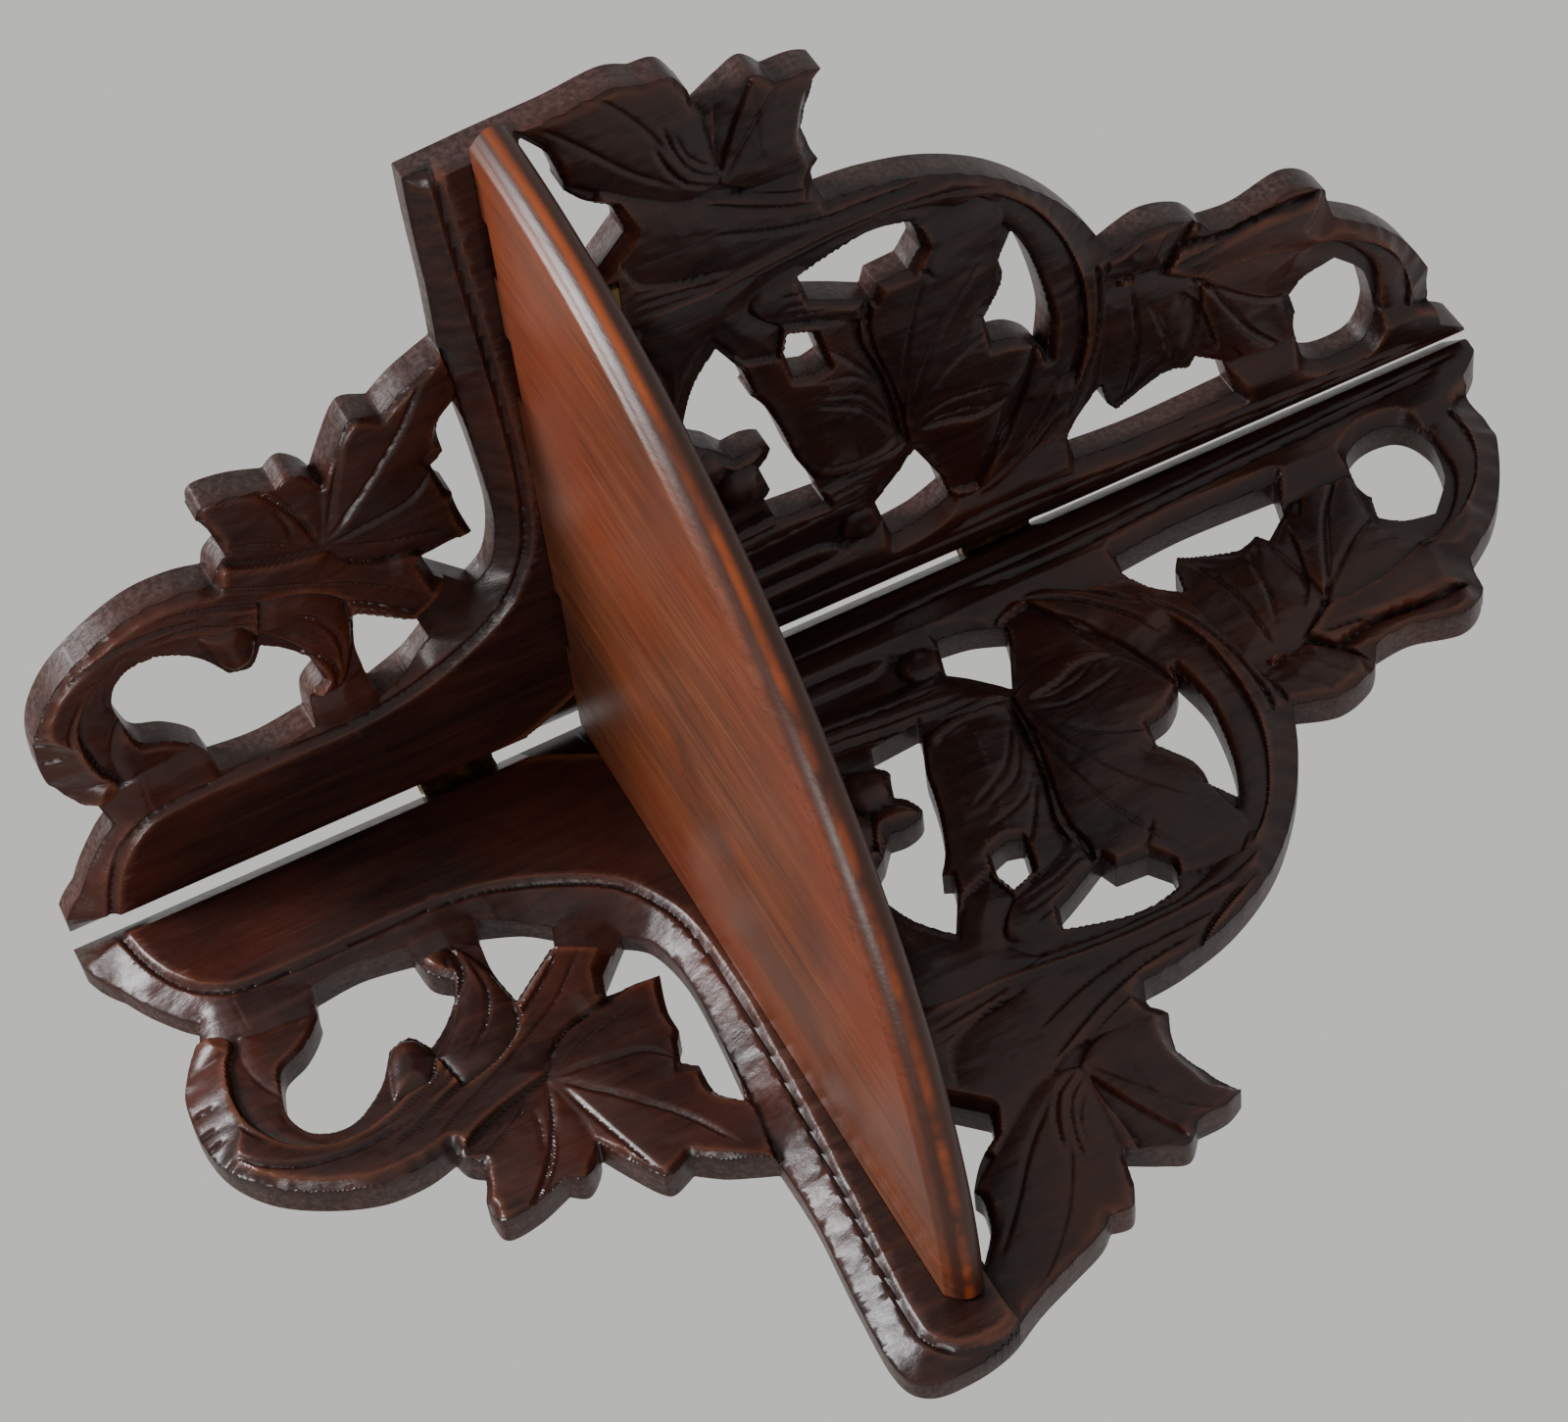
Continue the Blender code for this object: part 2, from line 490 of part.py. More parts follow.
# ---------------------------------------------------------------- metalwork
def hinge_leaf(name, mat, place, zc, owner, holes):
    """Leaf in local (s, d, z): pin axis at (-AXIS_OUT, -AXIS_OUT), plate on the back plane."""
    bm = bmesh.new()
    w = HINGE_L / 5.0
    clear = KNUCKLE_R + GAP + 0.1
    edge = math.sqrt(clear ** 2 - AXIS_OUT ** 2) - AXIS_OUT
    z0, z1 = zc - HINGE_L / 2, zc + HINGE_L / 2
    mine = [(z0 + w * i + (GAP / 2 if i else 0), z0 + w * (i + 1) - (GAP / 2 if i < 4 else 0))
            for i in range(5) if i % 2 == owner]
    outline = [(LEAF_W - AXIS_OUT, z0), (LEAF_W - AXIS_OUT, z1)]
    # plate with tongues reaching the knuckles
    right = []
    for a, b in mine:
        right += [(edge, a), (-AXIS_OUT, a), (-AXIS_OUT, b), (edge, b)]
    if owner == 1:
        right = [(edge, z0)] + right + [(edge, z1)]
    loop = right + outline[::-1]
    cleaned = []
    for p in loop:
        if not cleaned or (abs(p[0] - cleaned[-1][0]) > 1e-6 or abs(p[1] - cleaned[-1][1]) > 1e-6):
            cleaned.append(p)
    prism(bm, cleaned, place, 0.0, LEAF_T)
    leaf = new_object(name, bm, mat)
    parts = []
    for a, b in mine:
        bm = bmesh.new()
        c0 = place(-AXIS_OUT, -AXIS_OUT, a) / MM
        c1 = place(-AXIS_OUT, -AXIS_OUT, b) / MM
        cylinder(bm, c0, c1 - c0, KNUCKLE_R, KNUCKLE_R, (c1 - c0).length, 12)
        parts.append(new_object("knuckle", bm))
    boolean(leaf, parts, 'UNION')
    cuts = []
    bm = bmesh.new()
    c0 = place(-AXIS_OUT, -AXIS_OUT, z0 - 2) / MM
    c1 = place(-AXIS_OUT, -AXIS_OUT, z1 + 2) / MM
    cylinder(bm, c0, c1 - c0, PIN_R + GAP, PIN_R + GAP, (c1 - c0).length, 8)
    cuts.append(new_object("bore", bm))
    for s, z in holes:
        bm = bmesh.new()
        p0 = place(s, -1.0, z) / MM
        p1 = place(s, LEAF_T + 1.0, z) / MM
        cylinder(bm, p0, p1 - p0, HEAD_R + GAP, HEAD_R + GAP, (p1 - p0).length, 10)
        cuts.append(new_object("screw_hole", bm))
    boolean(leaf, cuts, 'DIFFERENCE')
    tidy(leaf)
    return leaf


def hinge_pin(name, mat, place, zc):
    """Pin with domed heads a little wider than the bore."""
    bm = bmesh.new()
    z0, z1 = zc - HINGE_L / 2 + 0.2, zc + HINGE_L / 2 - 0.2
    profile = [(z0, 0.55), (z0 + 0.35, PIN_R), (z1 - 0.35, PIN_R), (z1, 0.55)]
    rings = []
    for z, r in profile:
        rings.append([bm.verts.new(place(-AXIS_OUT + r * math.cos(a), -AXIS_OUT + r * math.sin(a), z))
                      for a in (2 * math.pi * i / 12 for i in range(12))])
    for a, b in zip(rings, rings[1:]):
        for i in range(12):
            bm.faces.new((a[i], a[(i + 1) % 12], b[(i + 1) % 12], b[i]))
    bm.faces.new(rings[0])
    bm.faces.new(rings[-1])
    ob = new_object(name, bm, mat)
    tidy(ob)
    return ob


def screw_mesh():
    """Flat-head slotted screw, head face on local z = 0 and point along -Z."""
    seg = 10
    profile = [(HEAD_R, 0.05), (HEAD_R, 0.35), (SHANK_R, LEAF_T + 0.05), (SHANK_R, LEAF_T + SHANK_L - 1.2),
               (0.3, LEAF_T + SHANK_L - 0.1)]
    bm = bmesh.new()
    rings = []
    for r, h in profile:
        rings.append([bm.verts.new(Vector((r * math.cos(a), r * math.sin(a), -h)) * MM)
                      for a in (2 * math.pi * (i + 0.5) / seg for i in range(seg))])
    for a, b in zip(rings, rings[1:]):
        for i in range(seg):
            bm.faces.new((a[i], a[(i + 1) % seg], b[(i + 1) % seg], b[i]))
    bm.faces.new(rings[-1])
    bm.faces.new(rings[0])
    ob = new_object("screw", bm, material("screw", STEEL, 0.35, 1.0))
    bm = bmesh.new()
    box(bm, (-HEAD_R - 0.5, -0.27, -0.45), (HEAD_R + 0.5, 0.27, 0.5))
    boolean(ob, [new_object("slot", bm)], 'DIFFERENCE')
    tidy(ob)
    me = ob.data
    bpy.data.objects.remove(ob, do_unlink=True)
    return me


def screw(name, mesh, base, outward, turn):
    """One screw at base (mm) with its head facing outward, its slot turned by an angle in degrees."""
    ob = bpy.data.objects.new(name, mesh)
    bpy.context.scene.collection.objects.link(ob)
    ob.location = Vector(base) * MM
    spin = Quaternion((0, 0, 1), math.radians(turn))
    ob.rotation_mode = 'QUATERNION'
    ob.rotation_quaternion = Vector(outward).to_track_quat('Z', 'Y') @ spin
    ob.material_slots[0].link = 'OBJECT'
    ob.material_slots[0].material = material(name, STEEL, 0.35, 1.0)
    return ob


def hanger(name, mat, place):
    """Flush keyhole plate let into the back."""
    bm = bmesh.new()
    r = HANGER_W / 2
    loop = []
    for i in range(9):
        a = math.pi * i / 8
        loop.append((HANGER_S + r * math.cos(a), HANGER_Z + HANGER_H / 2 - r + r * math.sin(a)))
    for i in range(9):
        a = math.pi + math.pi * i / 8
        loop.append((HANGER_S + r * math.cos(a), HANGER_Z - HANGER_H / 2 + r + r * math.sin(a)))
    prism(bm, loop, place, 0.0, LEAF_T)
    ob = new_object(name, bm, mat)
    cuts = []
    bm = bmesh.new()
    key = [(HANGER_S + 3.2 * math.cos(a), HANGER_Z - 3.0 + 3.2 * math.sin(a))
           for a in (math.radians(60 - 300 * i / 10) for i in range(11))]
    key += [(HANGER_S - 1.6, HANGER_Z + 5.4), (HANGER_S - 1.1, HANGER_Z + 6.6), (HANGER_S + 1.1, HANGER_Z + 6.6),
            (HANGER_S + 1.6, HANGER_Z + 5.4)]
    prism(bm, key, place, -1.0, LEAF_T + 1.0)
    cuts.append(new_object("keyhole", bm))
    for s, z in HANGER_SCREWS:
        bm = bmesh.new()
        p0 = place(s, -1.0, z) / MM
        p1 = place(s, LEAF_T + 1.0, z) / MM
        cylinder(bm, p0, p1 - p0, HEAD_R + GAP, HEAD_R + GAP, (p1 - p0).length, 10)
        cuts.append(new_object("screw_hole", bm))
    boolean(ob, cuts, 'DIFFERENCE')
    tidy(ob)
    return ob


# ---------------------------------------------------------------- shelf
def make_shelf(name, mat):
    """Quarter-round board; rear edges stand clear of the panel fronts."""
    c = T                                   # arcs are struck about the inner corner (T, -T)
    profile = [(SHELF_R, SHELF_Z), (SHELF_R + 0.8, SHELF_Z + 1.0), (SHELF_R + 2.8, SHELF_Z + 2.6),
               (SHELF_R + 4.2, SHELF_Z + 5.0), (SHELF_R + 4.2, SHELF_Z + 7.4), (SHELF_R + 2.8, SHELF_Z + 9.3),
               (SHELF_R + 0.6, SHELF_Z + SHELF_T)]
    seg = 30
    bm = bmesh.new()
    rings = []
    for r, z in profile:
        a0 = math.asin(SHELF_CLEAR / r)
        ring = [bm.verts.new(Vector((c + SHELF_CLEAR, -c - SHELF_CLEAR, z)) * MM)]
        for i in range(seg + 1):
            a = a0 + (math.pi / 2 - 2 * a0) * i / seg
            ring.append(bm.verts.new(Vector((c + r * math.cos(a), -c - r * math.sin(a), z)) * MM))
        rings.append(ring)
    n = len(rings[0])
    for a, b in zip(rings, rings[1:]):
        for i in range(n):
            bm.faces.new((a[i], a[(i + 1) % n], b[(i + 1) % n], b[i]))
    bm.faces.new(rings[0])
    bm.faces.new(rings[-1])
    ob = new_object(name, bm, mat)
    bpy.context.view_layer.update()
    merge = bmesh.new()
    merge.from_mesh(ob.data)
    bmesh.ops.remove_doubles(merge, verts=merge.verts[:], dist=0.00001)
    merge.to_mesh(ob.data)
    merge.free()
    cuts = []
    top = SHELF_Z + SHELF_T
    bm = bmesh.new()
    box(bm, (T - 2, -OLD_NOTCH_S - 9, SHELF_Z - 2), (T + NOTCH_D, -OLD_NOTCH_S + 9, top + 2))
    cuts.append(new_object("old_notch", bm))
    for sc in SHELF_HINGE_S:
        lo, hi = -(sc + HINGE_L / 2 + GAP), -(sc - HINGE_L / 2 - GAP)
        bm = bmesh.new()
        box(bm, (T - 2, lo, SHELF_Z - 2), (T + NOTCH_D + 0.6, hi, top + 2))
        cuts.append(new_object("notch", bm))
        bm = bmesh.new()
        x_axis = T + SHELF_CLEAR + AXIS_OUT
        box(bm, (T - 1, lo, top - LEAF_T - GAP), (x_axis + LEAF_W + GAP, hi, top + 3))
        cuts.append(new_object("mortise", bm))
        for s, x in shelf_board_screws(sc):
            bm = bmesh.new()
            cylinder(bm, (x, -s, top - LEAF_T - SHANK_L - GAP), (0, 0, 1), SHANK_R + GAP, SHANK_R + GAP, 12.0, 8)
            cuts.append(new_object("pilot", bm))
    boolean(ob, cuts, 'DIFFERENCE')
    tidy(ob, 28)
    return ob


def place_shelf_leaf(s, d, z):
    """Leaf on the shelf: local s runs out over the shelf, d into it, z along the hinge."""
    return Vector((T + SHELF_CLEAR + AXIS_OUT + AXIS_OUT + s, z, SHELF_Z + SHELF_T - d)) * MM


def place_panel_leaf(s, d, z):
    """Leaf on the left panel: local s runs up the panel, d into it, z along the hinge."""
    x_face = T + SHELF_CLEAR
    return Vector((x_face - d, z, SHELF_Z + SHELF_T + AXIS_OUT + AXIS_OUT + s)) * MM


# ---------------------------------------------------------------- build
make_panel("left_panel", "left", to_left, ARM_CUT, material("left_panel", DARK, 0.42))
make_panel("right_panel", "right", to_right, ARM_ROUND, material("right_panel", DARK, 0.42))
make_shelf("shelf", material("shelf", SHELFWOOD, 0.4))

for label, zc in zip(("lower", "upper"), CORNER_HINGE_Z):
    holes = screw_holes_hinge(zc)
    base = "corner_hinge_" + label
    hinge_leaf(base + "_leaf_left", material(base + "_leaf_left", BRASS, 0.45, 1.0), to_left, zc, 0, holes)
    hinge_leaf(base + "_leaf_right", material(base + "_leaf_right", BRASS, 0.45, 1.0), to_right, zc, 1, holes)
    hinge_pin(base + "_pin", material(base + "_pin", STEEL, 0.35, 1.0), to_left, zc)

for label, sc in zip(("inner", "outer"), SHELF_HINGE_S):
    base = "shelf_hinge_" + label
    up = [(z - (SHELF_Z + SHELF_T + 2 * AXIS_OUT), -s) for s, z in shelf_panel_screws(sc)]
    out = [(x - (T + SHELF_CLEAR + 2 * AXIS_OUT), -s) for s, x in shelf_board_screws(sc)]
    hinge_leaf(base + "_leaf_panel", material(base + "_leaf_panel", BRASS, 0.45, 1.0), place_panel_leaf, -sc, 0, up)
    hinge_leaf(base + "_leaf_shelf", material(base + "_leaf_shelf", BRASS, 0.45, 1.0), place_shelf_leaf, -sc, 1, out)
    hinge_pin(base + "_pin", material(base + "_pin", STEEL, 0.35, 1.0), place_shelf_leaf, -sc)

screws = screw_mesh()
for label, zc in zip(("lower", "upper"), CORNER_HINGE_Z):
    for i, (s, z) in enumerate(screw_holes_hinge(zc), 1):
        turn = 25 + 40 * i
        screw(f"{label}_left_hinge_screw_{i}", screws, to_left(s, 0, z) / MM, (-1, 0, 0), turn)
        screw(f"{label}_right_hinge_screw_{i}", screws, to_right(s, 0, z) / MM, (0, 1, 0), turn + 15)
for label, sc in zip(("inner", "outer"), SHELF_HINGE_S):
    for i, (s, z) in enumerate(shelf_panel_screws(sc), 1):
        screw(f"{label}_shelf_hinge_panel_screw_{i}", screws, to_left(s, T + SHELF_CLEAR, z) / MM, (1, 0, 0), 70 * i)
    for i, (s, x) in enumerate(shelf_board_screws(sc), 1):
        screw(f"{label}_shelf_hinge_board_screw_{i}", screws, (x, -s, SHELF_Z + SHELF_T), (0, 0, 1), 55 * i)
for side, place, outward in (("left", to_left, (-1, 0, 0)), ("right", to_right, (0, 1, 0))):
    hanger(side + "_hanger_plate", material(side + "_hanger_plate", BRASS, 0.45, 1.0), place)
    for i, (s, z) in enumerate(HANGER_SCREWS, 1):
        screw(f"{side}_hanger_screw_{i}", screws, place(s, 0, z) / MM, outward, 30 + 65 * i)

# pivots: what turns with the right panel, and what turns with the shelf
panel_pivot = bpy.data.objects.new("panel_pivot", None)
panel_pivot.location = Vector((-AXIS_OUT, AXIS_OUT, 0)) * MM
shelf_pivot = bpy.data.objects.new("shelf_pivot", None)
shelf_pivot.location = Vector((T + SHELF_CLEAR + AXIS_OUT, 0, SHELF_Z + SHELF_T + AXIS_OUT)) * MM
for pivot in (panel_pivot, shelf_pivot):
    bpy.context.scene.collection.objects.link(pivot)
bpy.context.view_layer.update()
for ob in list(bpy.context.scene.objects):
    pivot = None
    if "right" in ob.name:
        pivot = panel_pivot
    elif ob.name == "shelf" or ob.name.endswith("leaf_shelf") or "board_screw" in ob.name:
        pivot = shelf_pivot
    if pivot:
        ob.parent = pivot
        ob.matrix_parent_inverse = pivot.matrix_world.inverted()
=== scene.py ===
import math
import bmesh
import bpy
import numpy as np
from mathutils import Matrix, Vector
from mathutils.geometry import delaunay_2d_cdt


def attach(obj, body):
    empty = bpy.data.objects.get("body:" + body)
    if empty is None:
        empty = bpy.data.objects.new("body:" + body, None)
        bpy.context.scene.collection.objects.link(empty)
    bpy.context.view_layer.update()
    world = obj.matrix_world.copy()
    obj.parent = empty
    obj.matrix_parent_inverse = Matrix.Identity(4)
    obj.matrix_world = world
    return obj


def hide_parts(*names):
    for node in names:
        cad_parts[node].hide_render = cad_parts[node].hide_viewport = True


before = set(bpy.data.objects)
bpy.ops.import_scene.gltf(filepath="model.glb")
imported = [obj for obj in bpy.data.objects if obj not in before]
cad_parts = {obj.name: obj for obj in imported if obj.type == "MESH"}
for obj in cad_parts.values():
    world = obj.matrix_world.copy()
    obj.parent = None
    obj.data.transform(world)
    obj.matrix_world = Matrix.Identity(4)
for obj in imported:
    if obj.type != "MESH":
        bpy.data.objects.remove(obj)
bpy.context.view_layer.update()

MM = 0.001
T = 11.0
HEIGHT = 400.0
STEP = 0.5          # spacing of the carved surface, mm
SHELF_HINGE_S = (52.0, 140.0)
SHELF_NOTCH_S = 177.5        # empty notch in the shelf's rear edge
CORNER_HINGE_Z = (107.5, 263.0)
HINGE_SEAT = 1.6            # depth of the shelf hinge mortises in the left panel
MOST_TRIANGLES = 198000     # for one panel


# ------------------------------------------------------------------ curves
def spline(points, per_mm=1.2, closed=False):
    """Catmull-Rom curve; a third value marks a sharp corner. Returns an (n, 2) array in mm."""
    n = len(points)
    out = []
    spans = n if closed else n - 1
    for i in range(spans):
        p1, p2 = points[i], points[(i + 1) % n]
        before = points[i - 1] if (closed or i > 0) else p1
        after = points[(i + 2) % n] if (closed or i + 2 < n) else p2
        p0 = p1 if len(p1) > 2 else before
        p3 = p2 if len(p2) > 2 else after
        k = max(1, int(round(math.hypot(p2[0] - p1[0], p2[1] - p1[1]) / per_mm)))
        t = np.arange(k)[:, None] / k
        a, b, c, d = (np.array(q[:2], float) for q in (p0, p1, p2, p3))
        out.append(0.5 * (2 * b + (c - a) * t + (2 * a - 5 * b + 4 * c - d) * t ** 2
                          + (3 * b - a - 3 * c + d) * t ** 3))
    if not closed:
        out.append(np.array([points[-1][:2]], float))
    return np.vstack(out)


def smooth01(x):
    x = np.clip(x, 0, 1)
    return x * x * (3 - 2 * x)


# ------------------------------------------------------------------ the carved pattern, in (s, z) mm
OUTLINE = [
    (0, 0, 1), (14, 0, 1), (26, 1.8), (38, 6.6), (48, 13), (53, 17.5, 1),
    (60, 11.5), (70, 7), (84, 5), (97, 7), (108, 14), (116, 25), (121, 37), (121.5, 48), (119.5, 56.2, 1),
    (124, 57.6), (127, 61, 1), (133, 58.4), (140, 57), (145, 58.6), (144.4, 67), (141, 76, 1),
    (143.6, 80), (140, 84.5), (135.5, 86.8, 1), (144, 91), (151, 95), (153, 98), (150.4, 104, 1),
    (155, 110), (158, 116), (160.5, 121.6, 1)]
ARM_ROUND = [(180, 121.8), (205, 119.8), (224, 119.4), (231.4, 124), (232.6, 134), (230.6, 145), (225, 156),
             (221, 166), (217, 176), (213.4, 180.4, 1)]
ARM_CUT = [(180, 121.8), (200, 121.4), (213.6, 121.4, 1), (215, 140), (216, 158), (217.6, 172),
           (215, 179.4, 1)]
CREST = [
    (214, 186), (207, 190), (198.4, 192.2, 1), (203, 200), (205.4, 206), (200.6, 211, 1), (200, 220),
    (194.6, 227.2), (188, 224), (174.5, 218.6, 1), (164, 222.8), (159.6, 219.4, 1),
    (158.4, 232), (154, 248), (145, 264), (132, 277.4), (118, 287.4), (103.6, 294.6, 1),
    (107.4, 306), (104, 317), (97.2, 322.6, 1), (96.4, 333), (99.8, 347), (94, 356), (83.8, 358.8, 1),
    (75, 371), (62, 381.6), (46, 389.2), (29.6, 390.2, 1), (21, 398), (13, HEIGHT, 1), (0, HEIGHT, 1)]
HOLES = {
    "scroll_eye": [(59, 45.6, 1), (67, 43.6), (74, 37), (78, 29.6), (85, 27.6), (92.6, 31), (95.2, 40),
                   (89, 50),
                   (79.6, 56.4, 1), (78.6, 62), (84.4, 65.4, 1), (80, 71), (73.6, 76.4, 1), (69, 72),
                   (60, 71, 1), (57.8, 58)],
    "small_triangle": [(60.6, 88.4, 1), (65, 98), (70.4, 104.4, 1), (76, 97), (82, 89, 1), (71, 87.6)],
    "under_arm": [(81.6, 118.2, 1), (87, 123.6), (100, 126.4), (118, 125.8), (136, 124, 1), (130.6, 119),
                  (121.4, 119, 1), (118.6, 115.6, 1), (113, 119), (103, 119.4), (92.4, 122.8, 1),
                  (91.8, 108.4, 1)],
    "top_ring": [(33, 359), (34.6, 367), (41, 370.8), (50, 370.4), (60, 361.4, 1), (58.4, 352.6),
                 (54.2, 347.6, 1), (49.6, 350.8), (45, 349), (37.6, 350)],
    "beside_strip": [(36, 329, 1), (40.6, 327.6, 1), (46.6, 319.6, 1), (43.4, 317.6, 1), (45.4, 311),
                     (42, 301.6), (39.4, 296.4, 1), (44.6, 293), (50.6, 292, 1), (44.6, 285.4),
                     (36.6, 281.6, 1), (35, 302)],
    "ring_top": [(78, 275.2, 1), (92, 276.8), (106, 274.4), (116, 270, 1), (108.6, 265.8, 1), (100.6, 266.2),
                 (90.8, 260.6, 1), (89, 267), (84, 272.6)],
    "ring_left": [(43.4, 245.2, 1), (56.6, 238.8, 1), (50, 233), (43.8, 226.6, 1), (38.4, 228.2, 1),
                  (39.8, 237)],
    "ring_right": [(126.6, 239.6, 1), (132.6, 243.8, 1), (134.6, 231), (130, 213, 1), (126, 221),
                   (121.2, 229.6, 1), (126, 231.2, 1)],
    "pinhole": [(105.2, 212, 1), (106.4, 216, 1), (110.6, 215, 1), (113, 208.6, 1), (107, 207, 1)],
    "ring_bottom": [(60.4, 211.2, 1), (72, 206.6), (86, 203), (96, 198.6), (105, 191.4, 1), (107.4, 196, 1),
                    (118, 190, 1), (109, 183), (98, 179, 1), (94, 184, 1), (88.4, 188.4, 1), (88.8, 193.6),
                    (86.6, 198.6), (80.8, 201), (75.2, 199.4), (72.6, 196.8, 1), (69, 199.4), (64.4, 199.2),
                    (61.6, 197, 1)],
    "above_arm": [(164.4, 160, 1), (174.6, 170.2, 1), (180, 163), (190, 155.6, 1), (196, 157.4),
                  (204.6, 151.2, 1), (190, 150.6), (170, 152.4, 1)],
}


# how far the edges that face away from the corner stand back from the pattern line, (s, z) in mm
SET_BACK = {"left": (-12.3, 2.8), "right": (-8.25, 2.4)}
SET_BACK_ELSEWHERE = 0.3    # share of it on the other edges


def untangle(loop, reach=30):
    """Drops the small loops where a moved line crosses itself."""
    loop = [tuple(p[:2]) for p in loop]
    i = 0
    while i < len(loop):
        n = len(loop)
        a, b = loop[i], loop[(i + 1) % n]
        for k in range(min(reach, n - 3), 1, -1):
            c, d = loop[(i + k) % n], loop[(i + k + 1) % n]
            r, s = (b[0] - a[0], b[1] - a[1]), (d[0] - c[0], d[1] - c[1])
            den = r[0] * s[1] - r[1] * s[0]
            if abs(den) < 1e-12:
                continue
            t = ((c[0] - a[0]) * s[1] - (c[1] - a[1]) * s[0]) / den
            u = ((c[0] - a[0]) * r[1] - (c[1] - a[1]) * r[0]) / den
            if 0 <= t <= 1 and 0 <= u <= 1:
                cross = (a[0] + t * r[0], a[1] + t * r[1])
                gone = {(i + m) % n for m in range(1, k + 1)}
                kept = [p for m, p in enumerate(loop) if m not in gone]
                at = i + 1 - sum(1 for m in gone if m <= i)
                loop = kept[:at] + [cross] + kept[at:]
                break
        i += 1
    return loop


def set_back(loop, side, hole):
    """Pattern line to the board's edge. Returns the moved loop and how far each point moved across it."""
    x, y = loop[:, 0], loop[:, 1]
    area = (x * np.roll(y, -1) - np.roll(x, -1) * y).sum()
    turn = (1.0 if area > 0 else -1.0) * (-1.0 if hole else 1.0)
    ds, dz = SET_BACK[side]
    t = np.roll(loop, -1, 0) - np.roll(loop, 1, 0)
    t /= np.maximum(np.hypot(t[:, 0], t[:, 1]), 1e-6)[:, None]
    facing = -turn * (t[:, 1] * ds - t[:, 0] * dz) / math.hypot(ds, dz)
    w = SET_BACK_ELSEWHERE + (1 - SET_BACK_ELSEWHERE) * smooth01((facing + 0.25) / 0.5)
    w = w * np.clip((x - 8.0) / 26.0, 0, 1)
    moved = np.column_stack([x + ds * w, y + dz * w])
    clean = np.array(untangle(moved))
    gap = np.hypot(clean[:, None, 0] - moved[None, :, 0], clean[:, None, 1] - moved[None, :, 1])
    across = w * np.maximum(facing, 0) * math.hypot(ds, dz)
    return clean, across[gap.argmin(1)]


def mitre_edge(side, z):
    """How far the mitred edge stands back from the corner diagonal."""
    if side == "left":
        return np.interp(z, [-5, 255, 275, 405], [3.1, 3.1, 2.3, 2.3])
    return np.interp(z, [-5, 97, 140, 195, 253, 275, 405], [3.1, 3.1, 2.5, 0.8, 0.8, 0.3, 0.3])


# ------------------------------------------------------------------ carving grid
S0, Z0 = -1.0, -3.0
NS, NZ = int(238 / STEP), int(407 / STEP)
SS, ZZ = np.meshgrid(S0 + np.arange(NS) * STEP, Z0 + np.arange(NZ) * STEP)


def inside(loop):
    """Even-odd fill of a closed loop on the grid."""
    hits = np.zeros((NZ, NS + 1), np.int32)
    for (x0, y0), (x1, y1) in zip(loop, np.roll(loop, -1, 0)):
        if y0 == y1:
            continue
        j0 = max(0, math.ceil((min(y0, y1) - Z0) / STEP))
        j1 = min(NZ, math.ceil((max(y0, y1) - Z0) / STEP))
        if j1 <= j0:
            continue
        rows = np.arange(j0, j1)
        x = x0 + (Z0 + rows * STEP - y0) * (x1 - x0) / (y1 - y0)
        cols = np.clip(np.ceil((x - S0) / STEP).astype(int), 0, NS)
        hits[rows, cols] += 1
    return np.cumsum(hits, 1)[:, :NS] % 2 == 1


def near(line, reach, closed=False):
    """Distance to a polyline within reach, arc length of the nearest point and the side it lies on."""
    dist = np.full((NZ, NS), float(reach))
    arc = np.zeros((NZ, NS))
    side = np.zeros((NZ, NS))
    ends = np.roll(line, -1, 0) if closed else line[1:]
    run = 0.0
    for (x0, y0), (x1, y1) in zip(line, ends):
        dx, dy = x1 - x0, y1 - y0
        length = math.hypot(dx, dy)
        if length < 1e-9:
            continue
        i0 = max(0, int((min(x0, x1) - reach - S0) / STEP))
        i1 = min(NS, int((max(x0, x1) + reach - S0) / STEP) + 2)
        j0 = max(0, int((min(y0, y1) - reach - Z0) / STEP))
        j1 = min(NZ, int((max(y0, y1) + reach - Z0) / STEP) + 2)
        px, py = SS[j0:j1, i0:i1] - x0, ZZ[j0:j1, i0:i1] - y0
        t = np.clip((px * dx + py * dy) / length ** 2, 0, 1)
        d = np.hypot(px - t * dx, py - t * dy)
        view = dist[j0:j1, i0:i1]
        closer = d < view
        view[closer] = d[closer]
        arc[j0:j1, i0:i1][closer] = (run + t * length)[closer]
        side[j0:j1, i0:i1][closer] = np.sign(dx * py - dy * px)[closer]
        run += length
    return dist, arc, side


def signed(loop, reach=14.0):
    """Signed distance to a closed loop, positive inside."""
    d, arc, _ = near(loop, reach, True)
    return np.where(inside(loop), d, -d), arc


def value_noise(rng, cell_s, cell_z):
    """Smooth noise on the grid, about -1 to 1, with its own cell size each way."""
    nx, nz = int(NS * STEP / cell_s) + 4, int(NZ * STEP / cell_z) + 4
    coarse = rng.uniform(-1, 1, (nz, nx))
    u, v = (SS - S0) / cell_s, (ZZ - Z0) / cell_z
    i, j = u.astype(int), v.astype(int)
    fu, fv = smooth01(u - i), smooth01(v - j)
    a = coarse[j, i] * (1 - fu) + coarse[j, i + 1] * fu
    b = coarse[j + 1, i] * (1 - fu) + coarse[j + 1, i + 1] * fu
    return a * (1 - fv) + b * fv


